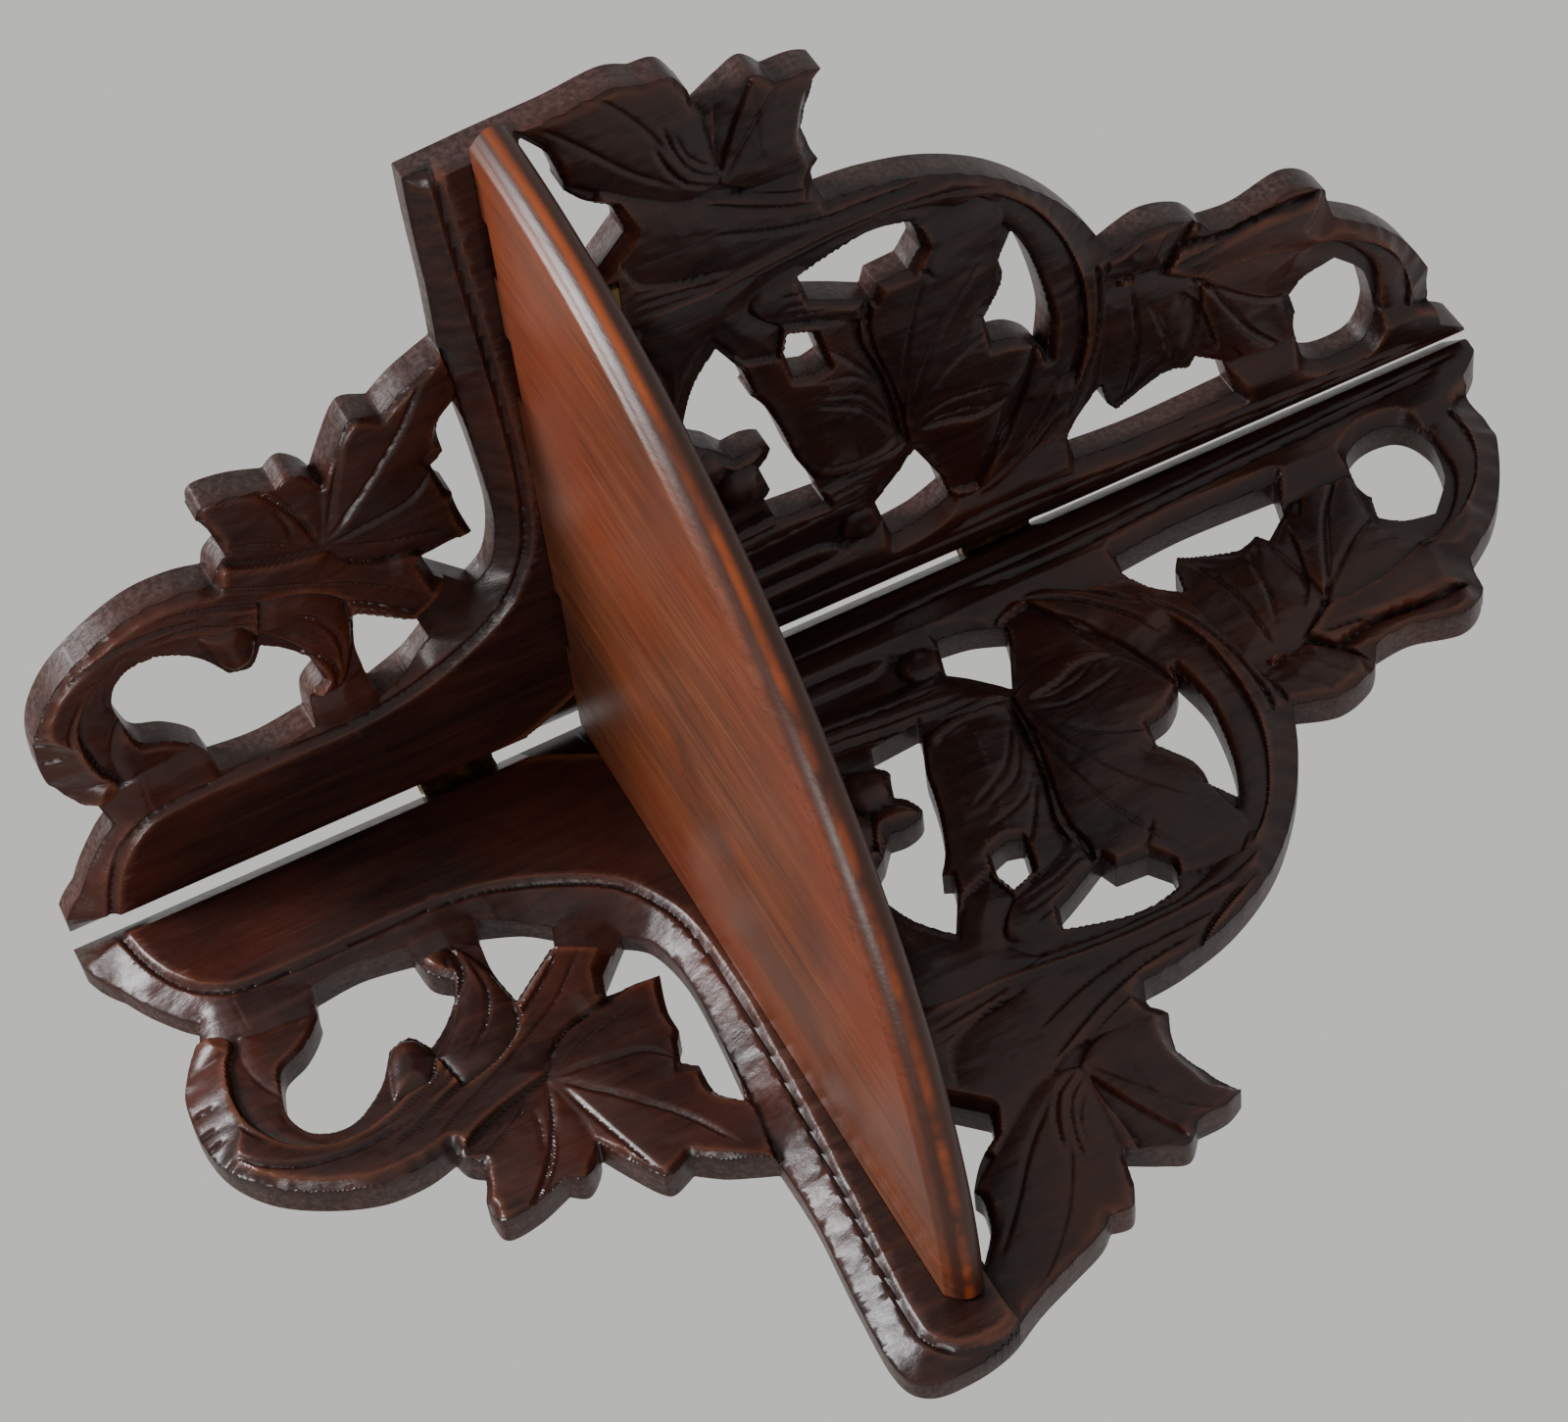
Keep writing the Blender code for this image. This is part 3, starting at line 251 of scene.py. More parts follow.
def box_blur(a, radius):
    """Running mean in both directions, radius in cells."""
    for axis in (0, 1):
        pad = [(0, 0), (0, 0)]
        pad[axis] = (radius + 1, radius)
        c = np.cumsum(np.pad(a, pad, mode="edge"), axis)
        n = 2 * radius + 1
        a = (np.take(c, range(n, c.shape[axis]), axis) - np.take(c, range(0, c.shape[axis] - n), axis)) / n
    return a


class Carving:
    """Height of the carved front above the back plane, built up layer by layer."""

    def __init__(self, seed):
        self.rng = np.random.default_rng(seed)
        self.h = np.full((NZ, NS), 7.4)
        self.vein = 1.0

    def layer(self, points, top, edge, fall=5.0, soft=0.5, tilt=(0, 0), centre=(0, 0)):
        """Paint a closed shape over what is there, crowned from edge height up to top."""
        d, _ = signed(spline(points, 1.0, True))
        new = edge + (top - edge) * (1 - np.exp(-np.maximum(d, 0) / fall))
        new = new + tilt[0] * (SS - centre[0]) + tilt[1] * (ZZ - centre[1])
        w = smooth01(0.5 + d / (2 * soft))
        self.h = self.h * (1 - w) + new * w
        return d

    def groove(self, points, width=1.6, depth=0.9, fade=8.0):
        """V cut along an open path, running out at both ends."""
        line = spline(points, 1.0)
        d, arc, _ = near(line, width)
        total = arc.max()
        ends = np.clip(np.minimum(arc, total - arc) / fade + 0.15, 0, 1)
        self.h -= depth * self.vein * ends * np.maximum(0, 1 - d / (width * 0.5 + 0.3)) ** 1.3

    def ridge(self, points, width=2.4, rise=0.5, fade=8.0):
        line = spline(points, 1.0)
        d, arc, _ = near(line, width)
        total = arc.max()
        ends = np.clip(np.minimum(arc, total - arc) / fade + 0.1, 0, 1)
        self.h += rise * ends * smooth01(1 - d / width)

    def shelve(self, points, depth=1.2, reach=6.0, right=True, fade=6.0):
        """Cut down beside a path on one side, easing back up with distance: one form passing over another."""
        line = spline(points, 1.0)
        d, arc, side = near(line, reach * 2.5)
        total = arc.max()
        ends = np.clip(np.minimum(arc, total - arc) / fade, 0, 1)
        sgn = d * side * (-1 if right else 1)
        down = smooth01(sgn / 0.9) * np.exp(-np.maximum(sgn, 0) / reach)
        self.h -= depth * ends * down * (d < reach * 2.5 - 0.1)

    def dome(self, s, z, r, base, rise):
        d = np.hypot(SS - s, ZZ - z) / r
        new = base + rise * np.sqrt(np.maximum(0, 1 - np.minimum(d, 1) ** 2))
        self.h = np.where(d < 1, np.maximum(self.h, new), self.h)

    def scallop(self, points, reach, pitch, depth):
        """Short gouge marks across a path, within reach of it."""
        line = spline(points, 1.0)
        d, arc, _ = near(line, reach)
        w = smooth01((reach - d) / (reach * 0.4))
        phase = arc / pitch + 0.5 * value_noise(self.rng, 9, 9)
        self.h -= depth * w * (0.5 + 0.5 * np.cos(2 * math.pi * phase)) ** 3


def carve(side):
    """Carved height field of one panel."""
    left = side == "left"
    c = Carving(11 if left else 29)
    outline, moved = set_back(spline(OUTLINE + (ARM_CUT if left else ARM_ROUND) + CREST, 1.0, True),
                              side, False)
    arris = mitre_edge(side, ZZ) + T
    holes = [set_back(spline(h, 0.8, True), side, True)[0] for h in HOLES.values()]
    d_out, arc_out = signed(outline, 24.0)
    run = np.concatenate([[0], np.cumsum(np.hypot(*(np.roll(outline, -1, 0) - outline).T))])
    upright = smooth01((np.interp(arc_out, run, np.append(moved, moved[0])) - 3.4) / 4.0)
    upright = box_blur(upright, int(2 / STEP))
    d_hole = np.full((NZ, NS), 24.0)
    for loop in holes:
        d_hole = np.minimum(d_hole, -signed(loop, 24.0)[0])

    # ground of the upper scrolls, sunk between the forms
    c.h += 0.5 * value_noise(c.rng, 14, 14)

    # --- top ring, ears and leaf
    c.layer([(24, 392, 1), (46, 391), (64, 383), (78, 372), (88, 358), (90, 340), (90, 322), (84, 300, 1),
             (70, 296, 1), (66, 320), (66, 345), (62, 362), (50, 373), (36, 375), (24, 376, 1)],
             10.7, 9.2, 3.0)
    c.shelve([(24, 384), (36, 384.4), (46, 382), (55, 376), (63, 366), (69, 352)], 2.6, 7.0, True)
    c.layer([(82, 362, 1), (98, 362), (103, 347), (98, 333), (99, 318, 1), (84, 316, 1), (82, 330),
             (83, 345)],
            10.2, 7.4, 4.0)
    c.groove([(84, 358), (82.4, 350), (83.4, 340), (81.6, 328), (79, 314)], 2.0, 1.5)
    c.ridge([(90, 356), (92, 345), (90, 333), (90, 322), (84, 308)], 4.0, 0.7)
    c.layer([(78, 312, 1), (92, 322, 1), (106, 322), (111, 306), (106, 293), (84, 291, 1)], 10.4, 7.2, 4.5)
    c.shelve([(97, 322), (91, 320), (84, 314), (78, 306)], 1.3, 5.0, True)
    c.ridge([(76, 299), (86, 306), (96, 312), (101, 316)], 3.0, 0.6)
    c.groove([(88, 303), (94, 306), (100, 308)], 2.2, 0.5, 3)
    c.layer([(28, 352, 1), (33, 350), (45, 347), (55, 346), (66, 352, 1), (72, 335), (70, 316), (58, 322),
             (46.6, 319.6, 1), (40, 327, 1), (33, 334), (28, 344)], 9.6, 8.0, 4.0)
    c.layer([(44, 318), (58, 322), (72, 322, 1), (80, 306), (78, 292, 1), (50, 291, 1), (38, 296.5, 1),
             (41, 303),
             (45.6, 311)], 9.2, 7.4, 4.5)
    c.groove([(34, 346), (44, 337), (56, 330), (70, 322), (80, 308)], 2.0, 1.0)
    c.groove([(50, 348), (56, 338), (64, 328), (74, 316)], 1.8, 0.8)
    c.groove([(43, 300), (56, 303), (68, 303), (78, 302)], 2.0, 0.9)
    c.groove([(46, 312), (58, 311), (70, 307)], 1.8, 0.7)
    c.shelve([(42, 327), (52, 325), (62, 322), (70, 316)], 1.6, 5.0, True)
    c.shelve([(30, 343), (35, 336), (43, 331)], 1.6, 4.0, True, 3)

    # --- big ring
    c.layer([(26, 255, 1), (30, 276), (46, 290), (66, 294), (104, 297, 1), (120, 290), (136, 279), (150, 263),
             (160, 240), (162, 218, 1), (160, 200), (168, 184), (178, 168, 1), (160, 158, 1), (132, 158, 1),
             (131, 180), (132, 205), (134.5, 228), (133, 247), (124, 262), (110, 272), (92, 277), (72, 275),
             (52, 268), (40, 256), (34, 246)], 10.5, 8.4, 3.2)
    c.shelve([(52, 284), (66, 288.4), (82, 289), (98, 286.4), (110, 281.6), (121, 274.6), (130, 265)],
             2.3, 7.5, True)
    c.groove([(46, 282), (64, 291), (84, 293), (102, 289.6), (116, 283.6), (127, 275), (135, 264)], 1.8, 1.1)
    c.groove([(104, 287.6), (118, 280), (129, 269.6), (134, 258), (136, 240)], 1.6, 0.7)
    c.groove([(134.6, 268), (139.6, 256), (144, 247), (150, 238), (157.6, 228)], 2.6, 1.7)
    c.shelve([(137, 262), (141.6, 252), (147, 243.4), (157, 230)], 1.5, 5.0, True)
    c.ridge([(137.4, 260), (138.6, 242), (139, 224), (137, 204), (134.4, 186), (135, 170)], 2.4, 0.8)
    c.groove([(135.8, 250), (136.6, 234), (136, 214), (133.6, 196), (132.8, 180)], 1.5, 0.8)
    c.groove([(141.4, 250), (142.6, 234), (143.6, 220), (147, 206), (152, 194)], 1.7, 1.0)
    c.groove([(145.4, 240), (147.4, 226), (151.6, 212), (157, 200), (162, 190)], 1.8, 1.1)
    c.groove([(151, 232), (153.4, 220), (157.4, 208), (163, 196)], 1.4, 0.7)
    c.groove([(137.6, 192), (139, 182), (140.4, 172)], 1.6, 0.8)
    c.groove([(140, 196), (141.6, 184), (144, 172)], 1.6, 0.6)
    c.shelve([(139, 196), (141, 184), (146, 173), (158, 168)], 1.2, 6.0, False)
    c.groove([(30, 262), (38, 272), (47, 280)], 2.0, 1.2)
    c.groove([(28, 250), (36, 264), (47, 274), (58, 280)], 2.0, 1.0)
    c.groove([(33, 252), (42, 262), (52, 268)], 1.8, 0.8)
    c.layer([(32, 256, 1), (44, 262), (58, 266, 1), (58, 238, 1), (44, 245, 1), (37, 240), (34, 246)],
            8.6, 7.6, 4.0)

    # --- leaves inside the ring
    c.vein = 0.62
    c.layer([(57, 238, 1), (52, 250), (54, 262), (64, 271), (76, 275), (84, 273), (89.5, 267), (91, 259, 1),
             (98, 264), (108, 266.6), (122, 268), (130, 262, 1), (128, 248), (124, 238), (127, 233, 1),
             (119, 229.4, 1), (108, 231.4), (98, 230), (84, 234), (70, 237)], 10.0, 8.5, 4.5)
    c.shelve([(58, 268), (56, 258), (59, 249), (60, 241)], 1.4, 5.0, False)
    c.groove([(57, 262), (61, 255), (62, 246), (61, 240)], 1.6, 0.9)
    c.groove([(63, 268), (66, 258), (67, 248), (64, 240)], 1.6, 0.7)
    c.groove([(60, 238.6), (72, 244), (80, 252), (84, 262), (85, 270)], 1.8, 0.8)
    c.groove([(60, 238), (78, 242), (94, 250), (108, 260)], 2.0, 0.9)
    c.groove([(62, 237.6), (82, 238), (102, 242), (122, 250)], 1.8, 0.8)
    c.groove([(110, 248), (116, 243), (119, 236)], 1.8, 1.0, 3)
    c.shelve([(84, 271), (88, 264), (92, 258)], 1.2, 4.0, True, 3)
    c.layer([(57, 236, 1), (54, 226), (56, 214), (60.4, 210.6, 1), (72, 206.4), (86, 203), (96, 198.6),
             (105, 191, 1), (116, 200, 1), (119, 212), (116, 224), (108, 230, 1), (96, 231), (80, 234)],
            9.4, 7.6, 5.0)
    c.shelve([(57, 237.4), (70, 235.6), (84, 232.8), (98, 228.6), (110, 229.4), (122, 228)], 1.9, 5.0, True)
    for k, (a, b) in enumerate((((63, 234), (84, 213)), ((69, 233), (86, 216)), ((78, 232.4), (92, 213)))):
        c.groove([a, ((a[0] + b[0]) / 2 + 2.4, (a[1] + b[1]) / 2 + 2.2), b], 1.5, 0.9 - 0.1 * k, 4)
    c.groove([(80, 232), (92, 225), (101, 218), (107, 208)], 1.9, 1.0)
    c.ridge([(58, 235), (56.6, 226), (58, 217), (61, 212)], 2.6, 0.9, 3)
    c.layer([(104, 229, 1), (112, 230), (121, 229, 1), (130, 213, 1), (127, 204), (121, 199), (113, 200, 1),
             (113, 209), (109, 219)], 9.6, 7.6, 3.0)
    for k in range(4):
        a = 107 + 3.2 * k
        c.groove([(a, 228.4), (a + 3.4, 220), (a + 5.0 + k * 0.6, 208)], 1.3, 0.75, 3)
    c.layer([(104, 206, 1), (113, 208, 1), (124, 200), (133, 206, 1), (134, 178), (124, 172), (112, 176),
             (99, 178, 1), (110, 183.6), (118, 190, 1), (107, 197, 1)], 8.9, 7.4, 4.0)

    # --- vine, tendril and grapes
    c.layer([(38, 228, 1), (46, 228), (56, 237, 1), (57, 228), (53, 216), (50, 200), (49, 180), (50, 156, 1),
             (38, 156, 1), (37, 176), (38, 196), (40, 214)], 9.6, 8.0, 2.6)
    c.groove([(46, 226), (45, 210), (43.6, 192), (43, 172)], 1.7, 1.0)
    c.groove([(51, 228), (49.4, 212), (47.4, 194), (46.4, 174)], 1.5, 0.9)
    c.groove([(54, 232), (53, 218), (51, 202), (49, 184)], 1.4, 0.7)
    c.layer([(58, 208, 1), (61, 199, 1), (56, 184), (58, 158, 1), (50, 156, 1), (50, 180), (52, 200)],
            8.2, 7.2, 3.0)
    c.layer([(27, 216), (33, 212), (33.6, 196), (34, 156, 1), (26.6, 156, 1), (27, 190)], 9.4, 8.6, 1.6)
    c.layer([(30, 223), (33, 228), (38, 228.4), (41.4, 224), (39.6, 218.4), (34, 217.2)], 10.2, 8.4, 2.4)
    for s, z, r in ((69, 177, 6.4), (60, 168, 6.0), (72, 164, 6.2), (84, 168, 6.4), (62, 182, 5.8),
                    (88, 181, 6.8), (76, 183, 6.8), (65.6, 191.6, 7.0), (80, 193, 8.0)):
        c.dome(s, z, r, 6.4, min(r * 0.66, 4.6))

    # --- outer upper leaf
    c.layer([(160, 221, 1), (165, 224), (176, 220), (188, 226), (196, 230), (202, 220), (202, 211, 1),
             (186, 200),
             (166, 196, 1), (160, 206)], 9.8, 8.6, 5.0)
    c.layer([(166, 197, 1), (182, 203), (201, 212, 1), (207, 206), (204, 198), (199, 191, 1), (180, 194)],
            9.2, 8.2, 3.5)
    c.layer([(165, 197, 1), (180, 195.6), (199, 193, 1), (210, 190), (216, 184), (218, 172), (226, 156),
             (230, 148),
             (206, 149, 1), (196, 158), (190, 155, 1), (182, 162), (175, 171, 1), (170, 178), (164, 188)],
            10.0, 8.3, 5.0)
    c.shelve([(166, 197.6), (176, 197), (187, 197.6), (198, 196)], 1.9, 4.5, False)
    c.groove([(166, 198), (178, 206), (188, 214), (195, 223)], 1.8, 0.7)
    c.ridge([(194, 226), (195.4, 218), (193, 210)], 2.2, 0.8, 3)
    c.shelve([(196.4, 227), (196.6, 218), (194.4, 208)], 1.3, 3.0, False, 3)
    c.groove([(165.6, 196), (170, 189), (177, 184.6), (186, 182)], 1.8, 1.1, 5)
    c.groove([(167.4, 197), (173, 190.6), (181, 186.8), (190, 184.8)], 1.5, 0.9, 5)
    c.groove([(171, 195.6), (178, 190), (186, 187.6)], 1.4, 0.7, 4)
    c.groove([(180, 186), (192, 180), (202, 173), (212, 163), (218, 154)], 1.7, 0.7)
    c.groove([(170, 187), (180, 176), (192, 166), (203, 156)], 1.8, 0.8)
    c.shelve([(208.6, 184), (214, 174), (218.6, 162), (224.6, 151)], 1.1, 4.0, False)

    # --- lower leaf and scroll
    c.vein = 0.85
    c.layer([(60, 110, 1), (78, 121, 1), (84, 116), (94, 104), (104, 88), (112, 68), (121, 58, 1), (126, 48),
             (124, 30), (112, 12), (98, 3), (84, 1), (66, 5), (50, 17, 1), (56, 24), (64, 20.4), (75, 18.4),
             (84, 20.4), (92, 26), (97, 36), (95, 50), (86, 66), (82, 78), (78, 88), (70, 102)],
             10.7, 9.6, 3.0)
    c.layer([(62, 21, 1), (68, 20), (76, 18.8), (84, 21), (91, 26.6), (95.6, 34, 1), (92, 31), (85, 27.2),
             (78, 29), (70, 42), (56, 47, 1), (55, 34), (57, 26)], 7.9, 7.3, 3.0, 0.6)
    c.layer([(54, 26, 1), (63, 24), (72, 26), (77, 30), (74, 38), (66, 44.6), (55, 47, 1)], 8.8, 7.2, 3.4)
    c.groove([(58, 14), (68, 10.4), (79, 10), (89, 12.8), (96, 19), (100.4, 28), (102, 40), (100, 53)],
             2.0, 1.3)
    c.groove([(60, 20), (70, 16.6), (80, 16.4), (89, 21)], 1.8, 0.9)
    c.groove([(99, 40), (98, 50), (93, 62), (87, 74)], 1.6, 0.8)
    c.groove([(71, 106), (82, 94), (91, 80), (98, 66), (103, 54), (106, 44)], 1.8, 1.1)
    c.groove([(74, 110), (86, 98), (96, 82), (103, 68), (109, 56)], 1.6, 0.8)
    c.groove([(66, 108), (77, 97), (86, 84), (92, 72), (97, 60)], 1.6, 0.9)
    c.ridge([(68, 106), (79, 95), (88, 82), (95, 69), (100, 56)], 2.4, 0.5)
    c.scallop([(68, 7), (84, 6.4), (98, 9), (108, 18), (115, 29), (118, 42)], 7.0, 4.2, 0.45)
    c.layer([(56, 80), (60, 84.5), (72, 88), (86, 88), (94, 80), (98, 68, 1), (86, 66, 1), (80, 72),
             (73, 77, 1),
             (66, 81)], 9.9, 8.2, 2.4)
    c.groove([(62, 84), (74, 84.6), (84, 80), (90, 72)], 1.6, 0.8)
    c.layer([(53, 76), (57, 82), (66, 82), (73.6, 76, 1), (68, 70.6), (58, 70)], 9.9, 7.6, 2.6)
    c.groove([(60, 80), (65, 77.6), (69, 73)], 1.6, 0.5, 2)
    c.layer([(78, 57), (77.6, 63), (85, 66, 1), (92, 62), (92, 52, 1)], 10.3, 7.8, 2.6)
    c.layer([(104, 88, 1), (120, 91), (136, 88.6, 1), (146, 80), (143, 74), (148, 56), (132, 55),
             (126.6, 60, 1),
             (121, 54), (113, 62), (108, 72)], 9.5, 8.2, 5.5)
    c.groove([(106, 86), (118, 82), (129, 75.6), (137, 68), (142, 60)], 2.0, 1.2)
    c.shelve([(116, 83), (127, 78), (134, 72), (139, 64)], 0.9, 5.0, False)
    c.groove([(112, 80), (118, 79), (124, 77)], 1.6, 0.6, 3)
    c.groove([(107, 82), (113, 74), (118, 64)], 1.8, 0.9)
    c.layer([(92, 108, 1), (90, 124), (100, 122), (118.6, 114, 1), (124, 122), (138, 126, 1), (162, 123, 1),
             (159, 112),
             (152, 104, 1), (155, 98), (146, 92.6), (134, 89.6), (120, 88.6), (106, 86, 1), (98, 91),
             (93.4, 99)],
            10.3, 8.6, 4.5)
    c.groove([(106, 88), (108, 100), (110, 110), (116, 117)], 2.0, 1.0)
    c.groove([(107, 88), (120, 100), (132, 110), (146, 118)], 2.0, 1.0)
    c.groove([(108, 88), (126, 93), (140, 97), (150, 99)], 1.8, 0.8)
    c.groove([(104, 90), (99, 102), (96, 114)], 1.8, 0.8)
    c.shelve([(94, 104), (95, 97), (99, 91), (105, 86.6)], 1.2, 4.0, True, 3)

    # --- long strip beside the corner
    c.vein = 1.0
    flat = 11.0 - 0.43 * np.maximum(0, SS - 26.6)
    strip, _ = signed(spline([(-4, 140, 1), (-4, 404, 1), (13, 404), (22, 398), (26, 390), (31, 380),
                              (35.4, 352),
                              (36, 300), (37, 276), (30, 258), (33, 240), (31, 222), (28, 205),
                              (28, 140, 1)], 1.0, True))
    w = smooth01(0.5 + strip / 1.2)
    c.h = c.h * (1 - w) + flat * w
    c.groove([(17.2, 386), (18.2, 360), (19.6, 332), (21, 304), (22.8, 280), (23.2, 262), (22, 246)],
             2.2, 1.3)
    c.groove([(14.6, 394), (15.4, 366), (16.4, 334), (17.8, 304), (18.8, 276), (19, 244), (20, 218),
              (20.4, 190)],
             1.5, 0.7)
    c.shelve([(20, 398), (27, 391.4), (36, 388.6), (48, 386)], 0.9, 3.0, True)

    # --- plain board and arm with their bevelled border
    border = [(12, 12.4), (24, 15), (33, 19), (40, 25), (43.6, 33), (44.6, 50), (44.4, 80), (47, 98),
              (53, 112.6),
              (61, 124.6), (70, 131), (82, 135), (104, 136.4), (135, 135), (170, 132.6)]
    border += [(198, 131), (216, 131.4)] if left else [(206, 129.8), (216, 131.2), (221, 137), (222, 146),
                                                       (219, 153)]
    line = spline(border, 1.0)
    outer, _ = signed(spline([(-6, -4, 1), (56, -4, 1), (52, 17.4, 1), (56, 30), (58.4, 46), (57.6, 70),
                              (57, 84),
                              (61, 92), (66, 100), (72, 106, 1), (80, 118), (88, 125.6), (100, 128),
                              (136, 126),
                              (160, 122, 1), (164, 112, 1), (240, 112, 1), (240, 150, 1), (226, 151, 1),
                              (206, 150.4, 1), (160, 150.4), (100, 150.4), (20, 150.4), (-6, 150.4, 1)],
                              1.0, True))
    d_edge = np.minimum(np.maximum(d_out, 0), np.maximum(d_hole, 0))
    d_line, arc, which = near(line, 40.0)
    t = d_edge / (d_edge + d_line + 1e-6)
    low = np.where((SS < 56) & (ZZ > 24) & (ZZ < 100), 8.6, 5.6)
    low = box_blur(low, int(4 / STEP))
    band = low + (10.5 - low) * t
    facet = np.where(ZZ < 30, 0.25 * np.cos(2 * math.pi * arc / 15.0), 0.06 * np.cos(2 * math.pi * arc / 9.0))
    band = band + facet * np.sin(math.pi * np.clip(t, 0, 1))
    inner = which > 0
    board = np.where(inner, 11.0, band)
    w = smooth01(0.5 + outer / 1.0)
    c.h = c.h * (1 - w) + board * w
    d_line2 = np.where(w > 0.5, d_line, 9)
    c.h -= 1.5 * np.maximum(0, 1 - d_line2 / 1.5)

    # --- bevels along every free edge; broad towards the silhouette, tight in the piercings
    scroll = np.where((ZZ < 60) & (SS > 56), 1.0, 0.0)
    ring = ((ZZ > 218) & (SS > 20)).astype(float)
    leafy = 1.0 - np.clip(scroll + ring, 0, 1)
    low = 5.6 * scroll + 6.0 * ring + 7.0 * leafy
    slope = 0.42 * scroll + 0.5 * ring + 1.1 * leafy
    low, slope = box_blur(low, int(3 / STEP)), box_blur(slope, int(3 / STEP))
    low = low + (8.6 - low) * upright * 0.85
    slope = slope + (1.3 - slope) * upright * 0.85
    ripple = 0.22 * np.cos(2 * math.pi * (arc_out / 7.5 + 0.4 * value_noise(c.rng, 16, 16)))
    keep = (outer < 0.2) & (strip < 0.2)
    limit = low + slope * np.maximum(d_out, 0) + ripple * np.exp(-np.maximum(d_out, 0) / 5)
    c.h = np.where(keep, np.minimum(c.h, limit), c.h)
    limit = 7.0 + 1.3 * np.maximum(d_hole, 0)
    c.h = np.where(outer < 0.2, np.minimum(c.h, limit), c.h)

    # --- short chisel strokes round the lower scroll
    for k in range(15):
        a = math.radians(-112 + 9.2 * k + 2.2 * math.sin(2.7 * k))
        r0, r1 = 33.6 + 0.6 * math.sin(1.9 * k), 39.6 + 0.9 * math.sin(3.1 * k)
        s0, z0 = 84.5, 45.5
        c.groove([(s0 + r0 * math.cos(a), z0 + r0 * math.sin(a)),
                  (s0 + r1 * math.cos(a + 0.03), z0 + r1 * math.sin(a + 0.03))], 1.5, 0.9, 1.5)

    # --- tool marks and gentle unevenness
    free = smooth01((11.05 - c.h) / 0.6)
    c.h += free * (0.16 * value_noise(c.rng, 7, 9) + 0.07 * value_noise(c.rng, 2.6, 3.2))
    c.h += -0.04 + 0.04 * value_noise(c.rng, 3, 22) + 0.03 * value_noise(c.rng, 1.6, 6)
    # worn arris by the slit
    c.h -= 0.35 * np.exp(-np.maximum(SS - arris, 0) / 0.8)
    c.h = np.clip(c.h, 4.0, T - 0.02)

    if left:
        # mortises for the shelf hinges, with room for the knuckles
        for sc in SHELF_HINGE_S:
            a = np.minimum(SS - (sc - 10.4), (sc + 10.4) - SS)
            b = np.minimum(ZZ - 147.4, 168.2 - ZZ)
            w = smooth01(0.5 + np.minimum(a, b) / 0.5)
            c.h = c.h * (1 - w) + (T - HINGE_SEAT) * w

    solid = np.minimum(np.minimum(d_out, d_hole), SS - arris)
    return c.h, solid


# ------------------------------------------------------------------ height field to closed mesh
def contour_mesh(field, height):
    """Triangles of field > 0 with the rim exactly on the zero line. Returns points, faces and rim edges."""
    f = np.where(np.abs(field) < 0.02, 0.02, field)
    pos = f > 0
    ids = -np.ones((NZ, NS), np.int64)
    ids[pos] = np.arange(pos.sum())
    pts = [np.column_stack([SS[pos], ZZ[pos], height[pos]])]
    count = int(pos.sum())

    def crossings(a_pos, b_pos, fa, fb, sa, sb, za, zb, ha, hb):
        nonlocal count
        cross = a_pos != b_pos
        t = fa[cross] / (fa[cross] - fb[cross])
        t = np.clip(t, 0.02, 0.98)
        s = sa[cross] + (sb[cross] - sa[cross]) * t
        z = za[cross] + (zb[cross] - za[cross]) * t
        h = np.where(a_pos[cross], ha[cross], hb[cross])
        out = -np.ones(cross.shape, np.int64)
        out[cross] = count + np.arange(cross.sum())
        count += int(cross.sum())
        pts.append(np.column_stack([s, z, h]))
        return out

    ex = crossings(pos[:, :-1], pos[:, 1:], f[:, :-1], f[:, 1:], SS[:, :-1], SS[:, 1:], ZZ[:, :-1], ZZ[:, 1:],
                   height[:, :-1], height[:, 1:])
    ey = crossings(pos[:-1], pos[1:], f[:-1], f[1:], SS[:-1], SS[1:], ZZ[:-1], ZZ[1:], height[:-1],
                   height[1:])
    a, b, c, d = ids[:-1, :-1], ids[:-1, 1:], ids[1:, 1:], ids[1:, :-1]
    bottom, right, top, leftx = ex[:-1], ey[:, 1:], ex[1:], ey[:, :-1]
    code = ((a >= 0) * 1 + (b >= 0) * 2 + (c >= 0) * 4 + (d >= 0) * 8)
    table = {
        15: [("a", "b", "c", "d")],
        1: [("a", "bo", "le")], 2: [("b", "ri", "bo")], 4: [("c", "to", "ri")], 8: [("d", "le", "to")],
        3: [("a", "b", "ri", "le")], 6: [("b", "c", "to", "bo")], 12: [("c", "d", "le", "ri")],
        9: [("d", "a", "bo", "to")],
        7: [("a", "b", "c", "to", "le")], 11: [("d", "a", "b", "ri", "to")],
        13: [("c", "d", "a", "bo", "ri")],
        14: [("b", "c", "d", "le", "bo")],
        5: [("a", "bo", "le"), ("c", "to", "ri")], 10: [("b", "ri", "bo"), ("d", "le", "to")],
    }
    source = {"a": a, "b": b, "c": c, "d": d, "bo": bottom, "ri": right, "to": top, "le": leftx}
    faces, rims = [], []
    for k, polys in table.items():
        here = code == k
        if not here.any():
            continue
        for poly in polys:
            idx = [source[n][here] for n in poly]
            if len(poly) == 4 and k == 15:
                faces.append(np.column_stack([idx[0], idx[1], idx[2]]))
                faces.append(np.column_stack([idx[0], idx[2], idx[3]]))
            else:
                for j in range(1, len(poly) - 1):
                    faces.append(np.column_stack([idx[0], idx[j], idx[j + 1]]))
            for j, n in enumerate(poly):
                m = poly[(j + 1) % len(poly)]
                if len(n) == 2 and len(m) == 2:
                    rims.append(np.column_stack([idx[j], idx[(j + 1) % len(poly)]]))
    return np.vstack(pts), np.vstack(faces), np.vstack(rims)


